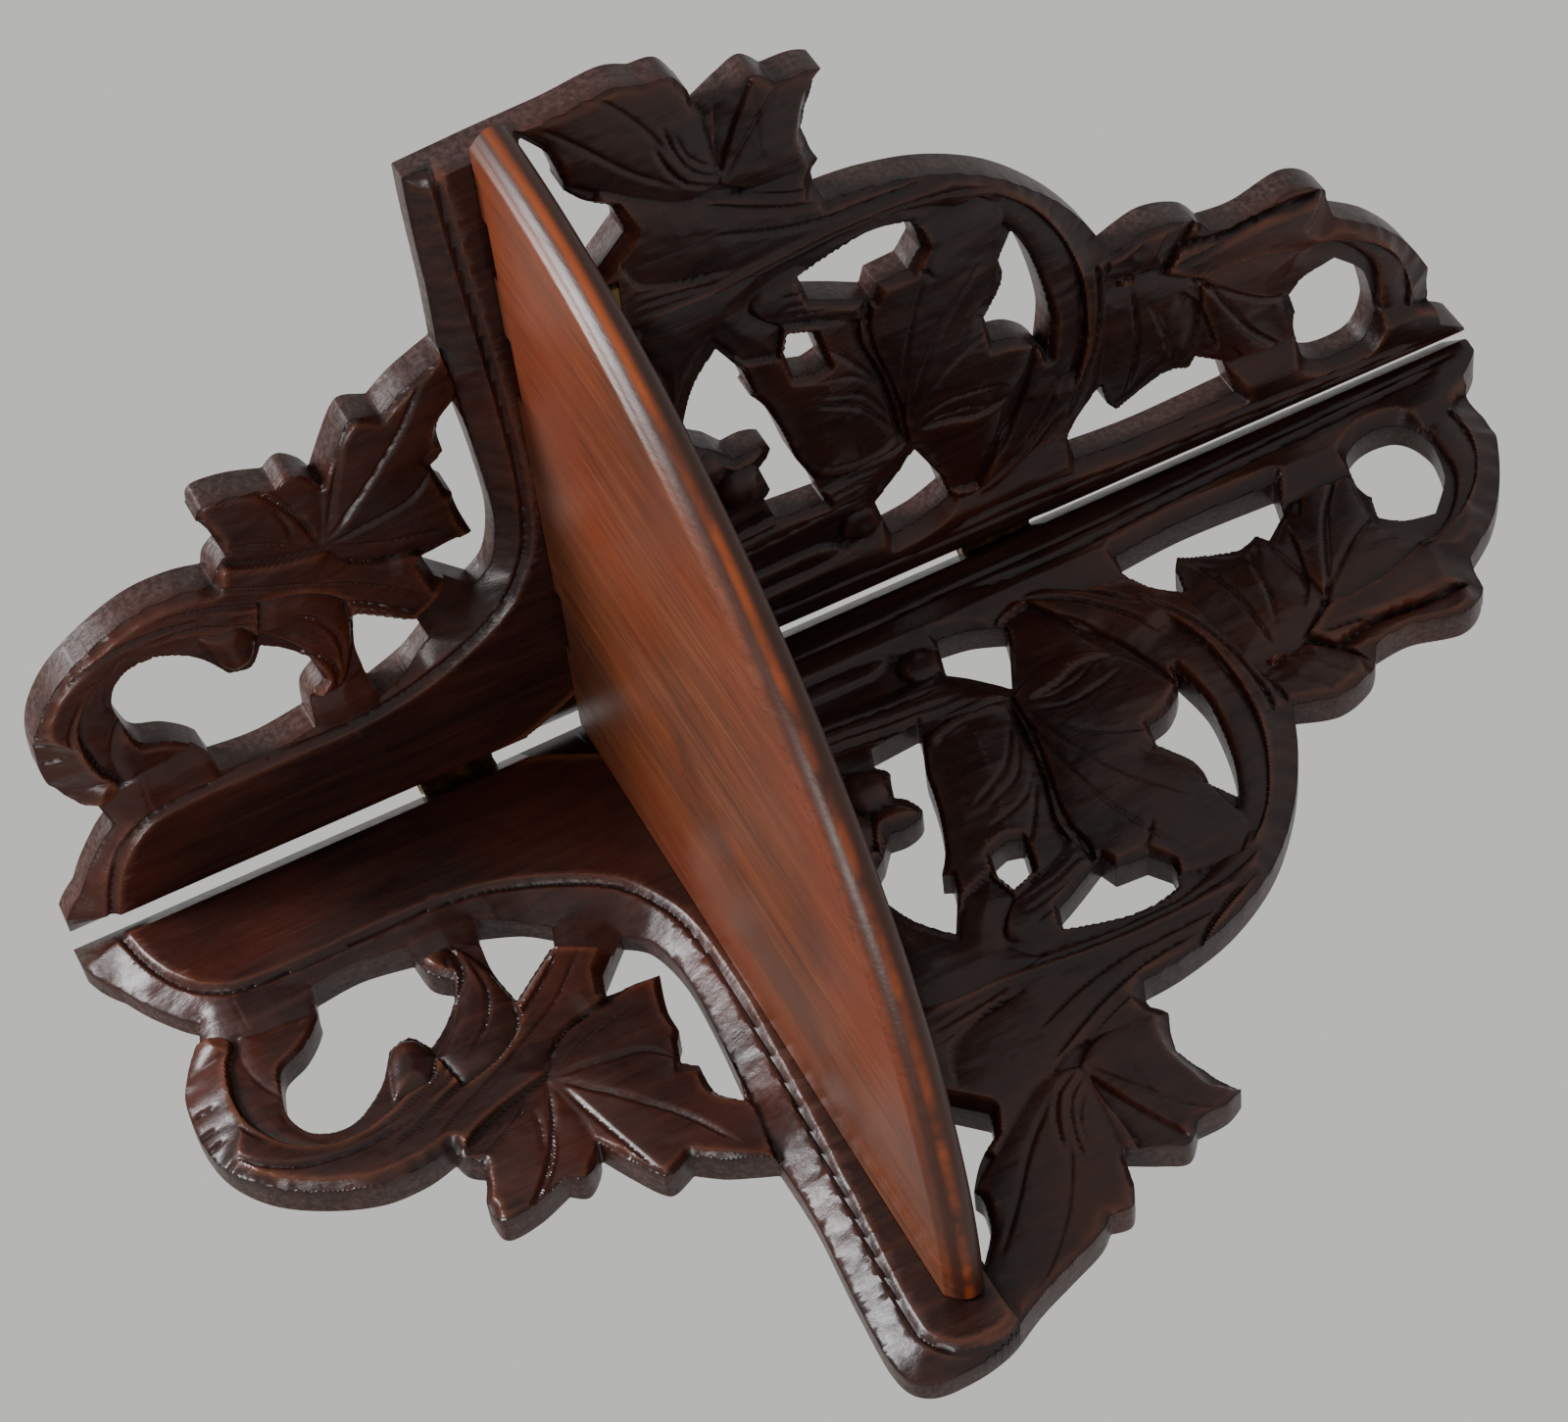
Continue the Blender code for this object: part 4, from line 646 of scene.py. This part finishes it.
def sample(grid, s, z):
    u = np.clip((s - S0) / STEP, 0, NS - 1.001)
    v = np.clip((z - Z0) / STEP, 0, NZ - 1.001)
    i, j = u.astype(int), v.astype(int)
    fu, fv = u - i, v - j
    return ((grid[j, i] * (1 - fu) + grid[j, i + 1] * fu) * (1 - fv)
            + (grid[j + 1, i] * (1 - fu) + grid[j + 1, i + 1] * fu) * fv)


def place(side, s, d, z):
    s, d, z = np.broadcast_arrays(s, d, z)
    if side == "left":
        return np.column_stack([d, -s, z]) * MM
    return np.column_stack([s, -d, z]) * MM


def panel(side):
    """Closed carved panel: relief front, upright edges, mitred corner edge, flat back."""
    height, solid = carve(side)
    smooth = box_blur(box_blur(height, int(1.5 / STEP)), int(1.5 / STEP))
    # relief above its surroundings is later coloured as reddish wear; relief below them carries painted shade
    wear_and_hollow_shade_map = height - smooth
    pts, faces, rims = contour_mesh(solid, height)
    arris = mitre_edge(side, pts[:, 1]) + T
    rim_ids = np.unique(rims)
    on_mitre = np.zeros(len(pts), bool)
    on_mitre[rim_ids] = np.abs(pts[rim_ids, 0] - arris[rim_ids]) < 0.12
    wear_and_hollow_shade = sample(wear_and_hollow_shade_map, pts[:, 0], pts[:, 1])
    front = place(side, pts[:, 0], pts[:, 2], pts[:, 1])

    # back rim: straight behind, or following the mitre
    back_of = -np.ones(len(pts), np.int64)
    back_of[rim_ids] = len(pts) + np.arange(len(rim_ids))
    back_s = pts[rim_ids, 0].copy()
    m = on_mitre[rim_ids]
    back_s[m] = mitre_edge(side, pts[rim_ids, 1])[m]
    back = place(side, back_s, 0.0, pts[rim_ids, 1])
    sides = np.vstack([np.column_stack([rims[:, 1], rims[:, 0], back_of[rims[:, 0]]]),
                       np.column_stack([rims[:, 1], back_of[rims[:, 0]], back_of[rims[:, 1]]])])

    # flat back by constrained triangulation of the rim
    local = {int(v): i for i, v in enumerate(rim_ids)}
    flat = np.column_stack([back_s, pts[rim_ids, 1]])
    edges = [(local[int(p)], local[int(q)]) for p, q in rims]
    _, _, faces2, _, _, _ = delaunay_2d_cdt([Vector(p) for p in flat], edges, [], 1, 1e-9)
    tri = np.array(faces2, np.int64)
    follow = dict(edges)
    loop_of = -np.ones(len(flat), np.int64)
    loops = []
    for start in range(len(flat)):
        if loop_of[start] < 0:
            ring = []
            at = start
            while loop_of[at] < 0:
                loop_of[at] = len(loops)
                ring.append(at)
                at = follow[at]
            loops.append(flat[ring])
    rim = max(range(len(loops)), key=lambda k: len(loops[k]))
    mid = flat[tri].mean(1)
    own = loop_of[tri]
    same = (own[:, 0] == own[:, 1]) & (own[:, 1] == own[:, 2])
    drop = np.zeros(len(tri), bool)
    for k, ring in enumerate(loops):
        if k != rim:
            pick = np.nonzero(same & (own[:, 0] == k))[0]
            x, y = mid[pick, 0][:, None], mid[pick, 1][:, None]
            x0, y0 = ring[:, 0], ring[:, 1]
            x1, y1 = np.roll(x0, -1), np.roll(y0, -1)
            with np.errstate(divide="ignore", invalid="ignore"):
                hit = ((y0 > y) != (y1 > y)) & (x < (x1 - x0) * (y - y0) / (y1 - y0) + x0)
            drop[pick] = hit.sum(1) % 2 == 1
    tri = tri[~drop] + len(pts)
    verts = np.vstack([front, back])
    left = side == "left"
    tris = np.vstack([faces if left else faces[:, ::-1], sides if left else sides[:, ::-1],
                      tri[:, ::-1] if left else tri])
    ob = mesh_object("carved_" + side + "_panel", verts, tris)
    at = ob.data.attributes.new("wear_and_hollow_shade", 'FLOAT', 'POINT')
    at.data.foreach_set("value", np.concatenate([wear_and_hollow_shade, np.zeros(len(back))]).astype(np.float32))
    at = ob.data.attributes.new("wall", 'FLOAT', 'POINT')
    at.data.foreach_set("value", np.concatenate([np.zeros(len(pts)), np.ones(len(back))]).astype(np.float32))
    return ob


def mesh_object(name, verts, tris):
    me = bpy.data.meshes.new(name)
    me.vertices.add(len(verts))
    me.vertices.foreach_set("co", np.asarray(verts, np.float32).ravel())
    me.loops.add(len(tris) * 3)
    me.loops.foreach_set("vertex_index", np.asarray(tris, np.int32).ravel())
    me.polygons.add(len(tris))
    me.polygons.foreach_set("loop_start", np.arange(0, len(tris) * 3, 3, dtype=np.int32))
    me.update(calc_edges=True)
    me.validate()
    ob = bpy.data.objects.new(name, me)
    bpy.context.scene.collection.objects.link(ob)
    return ob


def box_tool(lo, hi):
    """A closed box as a cutting tool, corners in metres."""
    bm = bmesh.new()
    bmesh.ops.create_cube(bm, size=1.0)
    for v in bm.verts:
        v.co = Vector([lo[k] if v.co[k] < 0 else hi[k] for k in range(3)])
    me = bpy.data.meshes.new("tool")
    bm.to_mesh(me)
    bm.free()
    ob = bpy.data.objects.new("tool", me)
    bpy.context.scene.collection.objects.link(ob)
    return ob


def apply_modifiers(ob):
    bpy.context.view_layer.update()
    dg = bpy.context.evaluated_depsgraph_get()
    me = bpy.data.meshes.new_from_object(ob.evaluated_get(dg))
    ob.modifiers.clear()
    old = ob.data
    ob.data = me
    bpy.data.meshes.remove(old)


def cut(ob, tools, solver='MANIFOLD'):
    col = bpy.data.collections.new("tools")
    for t in tools:
        col.objects.link(t)
    mod = ob.modifiers.new("cut", 'BOOLEAN')
    mod.operation = 'DIFFERENCE'
    mod.operand_type = 'COLLECTION'
    mod.collection = col
    mod.solver = solver
    apply_modifiers(ob)
    for t in tools:
        me = t.data
        bpy.data.objects.remove(t)
        bpy.data.meshes.remove(me)
    bpy.data.collections.remove(col)


def thin_out(ob, target):
    """Drop triangles where the surface is flat until the target count is met."""
    if len(ob.data.polygons) > target:
        mod = ob.modifiers.new("thin", 'DECIMATE')
        mod.ratio = target / len(ob.data.polygons)
        apply_modifiers(ob)


def shade(ob, angle):
    """Smooth shading broken at edges sharper than the angle, in degrees."""
    me = ob.data
    me.shade_smooth()
    bm = bmesh.new()
    bm.from_mesh(me)
    limit = math.radians(angle)
    for e in bm.edges:
        e.smooth = len(e.link_faces) == 2 and e.calc_face_angle(0.0) < limit
    bm.to_mesh(me)
    bm.free()


def side_box(side, s0, s1, d0, d1, z0, z1):
    if side == "left":
        return box_tool((d0 * MM, -s1 * MM, z0 * MM), (d1 * MM, -s0 * MM, z1 * MM))
    return box_tool((s0 * MM, -d1 * MM, z0 * MM), (s1 * MM, -d0 * MM, z1 * MM))


def finished_panel(side):
    ob = panel(side)
    tools = []
    for zc in CORNER_HINGE_Z:                       # corner hinge mortises
        tools.append(side_box(side, -6, 17.5, -3, 1.5, zc - 10.3, zc + 10.3))
    tools.append(side_box(side, 51.7, 64.3, -3, 1.5, 244.7, 279.3))      # hanger plate
    tools.append(side_box(side, 54.2, 61.8, 0.5, 4.5, 255, 270))         # room for the nail head
    cut(ob, tools)
    thin_out(ob, MOST_TRIANGLES)
    shade(ob, 42)
    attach(ob, side)
    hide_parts(side + "_panel")
    return ob


# ------------------------------------------------------------------ shelf
SHELF_Z, SHELF_T, SHELF_R = 139.0, 10.0, 196.0


def shelf():
    """Quarter-round board with a bulging moulded edge."""
    c, clear = T, 0.5
    profile = [(0.0, 0.0), (0.35, 0.12), (0.8, 0.5), (1.25, 1.05), (1.7, 1.35), (2.3, 1.9), (3.0, 2.7),
               (3.6, 3.6),
               (4.0, 4.6), (4.15, 5.6), (4.15, 6.4), (4.0, 7.2), (3.6, 8.0), (3.0, 8.7), (2.4, 9.2),
               (1.6, 9.55),
               (1.1, 9.8), (0.5, 10.0)]
    arc = 150
    verts, tris = [], []
    n = arc + 2
    for dr, dz in profile:
        r = SHELF_R + dr
        a0 = math.asin(clear / r)
        verts.append((c + clear, -c - clear, SHELF_Z + dz))
        for i in range(arc + 1):
            a = a0 + (math.pi / 2 - 2 * a0) * i / arc
            rr = r + 0.10 * math.sin(7.0 * a + 0.4) * (1 if 0 < dz < 10 else 0.5)
            verts.append((c + rr * math.cos(a), -c - rr * math.sin(a), SHELF_Z + dz))
    for k in range(len(profile) - 1):
        for i in range(n):
            j = (i + 1) % n
            p, q = k * n, (k + 1) * n
            tris += [(p + i, q + i, q + j), (p + i, q + j, p + j)]
    last = (len(profile) - 1) * n
    for i in range(1, n - 1):
        tris.append((0, i, i + 1))
        tris.append((last, last + i + 1, last + i))
    ob = mesh_object("shelf_board", np.array(verts) * MM, np.array(tris))
    tools = []
    top = SHELF_Z + SHELF_T
    for sc in SHELF_HINGE_S:
        lo, hi = -(sc + 10.3) * MM, -(sc - 10.3) * MM
        tools.append(box_tool(((T - 2) * MM, lo, (SHELF_Z - 2) * MM), ((T + 3.8) * MM, hi, (top + 2) * MM)))
        tools.append(box_tool(((T - 1) * MM, lo, (top - 1.5) * MM), (30.6 * MM, hi, (top + 3) * MM)))
    lo, hi = -(SHELF_NOTCH_S + 9) * MM, -(SHELF_NOTCH_S - 9) * MM
    tools.append(box_tool(((T - 2) * MM, lo, (SHELF_Z - 2) * MM), ((T + 3.2) * MM, hi, (top + 2) * MM)))
    cut(ob, tools, 'EXACT')
    shade(ob, 32)
    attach(ob, "shelf")
    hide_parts("shelf")
    return ob


# ------------------------------------------------------------------ materials
class Nodes:
    """Small helper for building shader trees."""

    def __init__(self, name):
        self.mat = bpy.data.materials.new(name)
        self.mat.use_nodes = True
        self.tree = self.mat.node_tree
        self.bsdf = next(n for n in self.tree.nodes if n.type == 'BSDF_PRINCIPLED')

    def add(self, kind, **props):
        node = self.tree.nodes.new(kind)
        for k, v in props.items():
            setattr(node, k, v)
        return node

    def link(self, a, b):
        self.tree.links.new(a, b)

    def put(self, socket, value):
        if isinstance(value, bpy.types.NodeSocket):
            self.link(value, socket)
        else:
            socket.default_value = value

    def mapped(self, scale, rot=(0, 0, 0)):
        tc = self.add('ShaderNodeTexCoord')
        mp = self.add('ShaderNodeMapping')
        mp.inputs['Scale'].default_value = scale
        mp.inputs['Rotation'].default_value = rot
        self.link(tc.outputs['Object'], mp.inputs['Vector'])
        return mp.outputs['Vector']

    def noise(self, vector, scale=1.0, detail=4.0, rough=0.55, distort=0.0):
        n = self.add('ShaderNodeTexNoise')
        self.put(n.inputs['Vector'], vector)
        n.inputs['Scale'].default_value = scale
        n.inputs['Detail'].default_value = detail
        n.inputs['Roughness'].default_value = rough
        n.inputs['Distortion'].default_value = distort
        return n.outputs[0]

    def ramp(self, value, stops, smooth=False):
        r = self.add('ShaderNodeValToRGB')
        if smooth:
            r.color_ramp.interpolation = 'EASE'
        els = r.color_ramp.elements
        while len(els) > 1:
            els.remove(els[-1])
        for k, (pos, col) in enumerate(stops):
            e = els[0] if k == 0 else els.new(pos)
            e.position = pos
            e.color = (*col, 1.0) if len(col) == 3 else col
        self.put(r.inputs[0], value)
        return r.outputs[0]

    def math(self, op, a, b=0.0, clamp=False):
        m = self.add('ShaderNodeMath', operation=op, use_clamp=clamp)
        self.put(m.inputs[0], a)
        self.put(m.inputs[1], b)
        return m.outputs[0]

    def mix(self, fac, a, b, mode='MIX'):
        m = self.add('ShaderNodeMix', data_type='RGBA', blend_type=mode)
        self.put(m.inputs[0], fac)
        for sock, val in ((m.inputs[6], a), (m.inputs[7], b)):
            self.put(sock, (*val, 1.0) if isinstance(val, tuple) and len(val) == 3 else val)
        return m.outputs[2]

    def bump(self, height, strength, distance, normal=None):
        b = self.add('ShaderNodeBump')
        b.inputs['Strength'].default_value = strength
        b.inputs['Distance'].default_value = distance
        self.put(b.inputs['Height'], height)
        if normal is not None:
            self.link(normal, b.inputs['Normal'])
        return b.outputs['Normal']

    def band(self, value, lo, hi):
        """0 below lo, 1 above hi."""
        m = self.add('ShaderNodeMapRange', clamp=True)
        self.put(m.inputs[0], value)
        m.inputs[1].default_value = lo
        m.inputs[2].default_value = hi
        return m.outputs[0]


def carved_wood(name):
    """Dark stained walnut: reddish where handled, painted shade near black in the recesses, soft polish."""
    m = Nodes(name)
    grain = m.noise(m.mapped((260, 260, 22)), 1.0, 6.0, 0.6, 0.4)
    pores = m.noise(m.mapped((900, 900, 60)), 1.0, 3.0, 0.6)
    blotch = m.noise(m.mapped((26, 26, 20)), 1.0, 3.0, 0.5)
    fine = m.noise(m.mapped((420, 420, 420)), 1.0, 3.0, 0.6)
    base = m.ramp(grain, [(0.30, (0.014, 0.0050, 0.0040)), (0.52, (0.029, 0.0092, 0.0070)),
                          (0.74, (0.056, 0.0170, 0.0105))])
    base = m.mix(m.math('MULTIPLY', m.band(blotch, 0.47, 0.68), 0.8), base, (0.074, 0.0150, 0.0078))
    # relief attribute: raised places get lighter reddish wear, hollows get painted shade
    attr = m.add('ShaderNodeAttribute', attribute_name="wear_and_hollow_shade")
    wear_and_hollow_shade = attr.outputs['Fac']
    jitter = m.math('MULTIPLY', m.math('SUBTRACT', blotch, 0.5), 0.5)
    edge = m.band(m.math('ADD', wear_and_hollow_shade, jitter), 0.14, 0.75)
    base = m.mix(m.math('MULTIPLY', edge, 0.7), base, (0.150, 0.046, 0.022))
    # painted shade: the hollows of the relief are darkened to near black
    painted_hollow_shade = m.band(m.math('MULTIPLY', wear_and_hollow_shade, -1.0), 0.15, 1.0)
    base = m.mix(m.math('MULTIPLY', painted_hollow_shade, 0.75), base, (0.006, 0.0035, 0.0032))
    base = m.mix(m.math('MULTIPLY', m.band(pores, 0.56, 0.66), 0.35), base, (0.006, 0.003, 0.0025))
    wall = m.add('ShaderNodeAttribute', attribute_name="wall").outputs['Fac']
    chip = m.noise(m.mapped((700, 700, 700)), 1.0, 5.0, 0.65)
    pale = m.mix(m.band(chip, 0.42, 0.62), (0.030, 0.015, 0.013), (0.125, 0.074, 0.064))
    base = m.mix(m.math('MULTIPLY', m.band(wall, 0.02, 0.35), 0.5), base, pale)
    m.link(base, m.bsdf.inputs['Base Color'])
    rough = m.math('ADD', 0.31, m.math('MULTIPLY', m.math('SUBTRACT', fine, 0.5), 0.30))
    rough = m.math('ADD', rough, m.math('MULTIPLY', painted_hollow_shade, 0.25))
    m.link(rough, m.bsdf.inputs['Roughness'])
    n1 = m.bump(grain, 0.35, 0.0004)
    n2 = m.bump(m.math('ADD', pores, m.math('MULTIPLY', fine, 0.8)), 0.30, 0.00022, n1)
    m.link(n2, m.bsdf.inputs['Normal'])
    m.bsdf.inputs['Coat Weight'].default_value = 0.10
    m.bsdf.inputs['Coat Roughness'].default_value = 0.22
    m.bsdf.inputs['IOR'].default_value = 1.48
    return m.mat


def shelf_wood(name):
    """Paler reddish board, grain running along the right-hand panel; painted shade darkens it above the
    underside.
    """
    m = Nodes(name)
    grain = m.noise(m.mapped((16, 300, 300)), 1.0, 6.0, 0.62, 0.6)
    streak = m.noise(m.mapped((5, 70, 70)), 1.0, 4.0, 0.55, 0.3)
    pores = m.noise(m.mapped((60, 1100, 1100)), 1.0, 2.0, 0.5)
    blotch = m.noise(m.mapped((24, 24, 24)), 1.0, 3.0, 0.5)
    base = m.ramp(grain, [(0.30, (0.084, 0.024, 0.011)), (0.52, (0.134, 0.040, 0.018)),
                          (0.74, (0.205, 0.072, 0.034))])
    base = m.mix(m.math('MULTIPLY', m.band(streak, 0.42, 0.64), 0.7), base, (0.180, 0.040, 0.011))
    base = m.mix(m.math('MULTIPLY', m.band(blotch, 0.48, 0.66), 0.7), base, (0.078, 0.027, 0.016))
    wide = m.noise(m.mapped((9, 9, 9)), 1.0, 2.0, 0.5)
    base = m.mix(m.math('MULTIPLY', m.band(wide, 0.45, 0.62), 0.6), base, (0.175, 0.029, 0.008))
    base = m.mix(m.math('MULTIPLY', m.band(pores, 0.58, 0.68), 0.45), base, (0.040, 0.014, 0.008))
    sep = m.add('ShaderNodeSeparateXYZ')
    m.link(m.add('ShaderNodeTexCoord').outputs['Object'], sep.inputs[0])
    rise = m.math('ADD', sep.outputs['Z'], m.math('MULTIPLY', m.math('SUBTRACT', blotch, 0.5), 0.0012))
    # painted shade: the moulding and top above the underside's lower arris are darkened
    base = m.mix(m.math('MULTIPLY', m.band(rise, 0.1400, 0.1412), 0.86), base, (0.050, 0.014, 0.008))
    line = m.math('MULTIPLY', m.band(rise, 0.1424, 0.1434), m.band(rise, 0.1456, 0.1442))
    base = m.mix(m.math('MULTIPLY', line, m.band(streak, 0.35, 0.6)), base, (0.30, 0.060, 0.012))
    m.link(base, m.bsdf.inputs['Base Color'])
    rough = m.math('ADD', 0.36, m.math('MULTIPLY', m.math('SUBTRACT', grain, 0.5), 0.25))
    m.link(rough, m.bsdf.inputs['Roughness'])
    m.link(m.bump(m.math('ADD', grain, m.math('MULTIPLY', pores, 0.5)), 0.3, 0.0003), m.bsdf.inputs['Normal'])
    m.bsdf.inputs['Coat Weight'].default_value = 0.08
    m.bsdf.inputs['Coat Roughness'].default_value = 0.35
    return m.mat


def old_metal(name, clean, dull, rough, metal):
    m = Nodes(name)
    tarnish = m.noise(m.mapped((160, 160, 160)), 1.0, 5.0, 0.6)
    speck = m.noise(m.mapped((900, 900, 900)), 1.0, 2.0, 0.6)
    fac = m.band(tarnish, 0.38, 0.62)
    m.link(m.mix(fac, clean, dull), m.bsdf.inputs['Base Color'])
    m.link(m.math('ADD', rough, m.math('MULTIPLY', fac, 0.22)), m.bsdf.inputs['Roughness'])
    m.bsdf.inputs['Metallic'].default_value = metal
    m.link(m.bump(m.math('ADD', speck, tarnish), 0.25, 0.00012), m.bsdf.inputs['Normal'])
    return m.mat


def paint(ob, mat):
    if ob.material_slots:
        for k in range(len(ob.material_slots)):
            ob.material_slots[k].link = 'OBJECT'
            ob.material_slots[k].material = mat
    else:
        ob.data.materials.append(mat)


left_panel = finished_panel("left")
right_panel = finished_panel("right")
board = shelf()
wood = carved_wood("dark_walnut")
paint(left_panel, wood)
paint(right_panel, wood)
paint(board, shelf_wood("shelf_walnut"))
brass = old_metal("aged_brass", (0.40, 0.27, 0.11), (0.13, 0.085, 0.045), 0.34, 0.95)
steel = old_metal("aged_steel", (0.32, 0.31, 0.29), (0.12, 0.085, 0.060), 0.38, 0.9)
for name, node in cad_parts.items():
    if name in ("left_panel", "right_panel", "shelf"):
        continue
    paint(node, steel if ("screw" in name or "pin" in name) else brass)


# ------------------------------------------------------------------ floor, light, camera
def plain(name, colour, rough):
    mat = bpy.data.materials.new(name)
    mat.use_nodes = True
    bsdf = next(n for n in mat.node_tree.nodes if n.type == 'BSDF_PRINCIPLED')
    bsdf.inputs['Base Color'].default_value = (*colour, 1)
    bsdf.inputs['Roughness'].default_value = rough
    return mat


def quad(name, corners, mat):
    me = bpy.data.meshes.new(name)
    me.from_pydata(corners, [], [(0, 1, 2, 3)])
    ob = bpy.data.objects.new(name, me)
    bpy.context.scene.collection.objects.link(ob)
    me.materials.append(mat)
    return ob


pale = plain("pale_card", (0.66, 0.655, 0.64), 0.9)
quad("floor", [(-4, -4, -1.6), (4, -4, -1.6), (4, 4, -1.6), (-4, 4, -1.6)], pale)

world = bpy.data.worlds.new("studio")
bpy.context.scene.world = world
world.use_nodes = True
bg = world.node_tree.nodes['Background']
bg.inputs['Color'].default_value = (0.66, 0.655, 0.635, 1)
bg.inputs['Strength'].default_value = 1.0
path = world.node_tree.nodes.new('ShaderNodeLightPath')
dim = world.node_tree.nodes.new('ShaderNodeMapRange')
dim.inputs[3].default_value = 0.70
dim.inputs[4].default_value = 1.0
world.node_tree.links.new(path.outputs['Is Camera Ray'], dim.inputs[0])
world.node_tree.links.new(dim.outputs[0], bg.inputs['Strength'])


def area(name, at, look, size, power, colour):
    data = bpy.data.lights.new(name, 'AREA')
    data.shape = 'RECTANGLE'
    data.size, data.size_y = size
    data.energy = power
    data.color = colour
    ob = bpy.data.objects.new(name, data)
    bpy.context.scene.collection.objects.link(ob)
    ob.location = at
    ob.rotation_mode = 'QUATERNION'
    ob.rotation_quaternion = (Vector(look) - Vector(at)).to_track_quat('-Z', 'Y')
    return ob


centre = (0.09, -0.09, 0.2)
area("key", (-0.45, -0.75, -0.95), centre, (0.55, 0.55), 24.0, (0.97, 0.985, 1.0))
area("side", (1.1, -0.3, -0.9), centre, (0.5, 0.5), 7.0, (1.0, 0.98, 0.96))

cam_data = bpy.data.cameras.new("camera")
cam = bpy.data.objects.new("camera", cam_data)
bpy.context.scene.collection.objects.link(cam)
x_axis = Vector((0.44605951, 0.08997696, 0.89046901))
y_axis = -Vector((0.65548069, 0.64460635, -0.39348153))
z_axis = x_axis.cross(y_axis)
rot = [[x_axis[k], y_axis[k], z_axis[k]] for k in range(3)]
cam.matrix_world = (Matrix.Translation((0.711207, -0.854857, -0.068666))
                    @ Matrix(rot).to_4x4())
cam_data.sensor_width = 36
cam_data.lens = 101.39
cam_data.clip_start = 0.05
bpy.context.scene.camera = cam
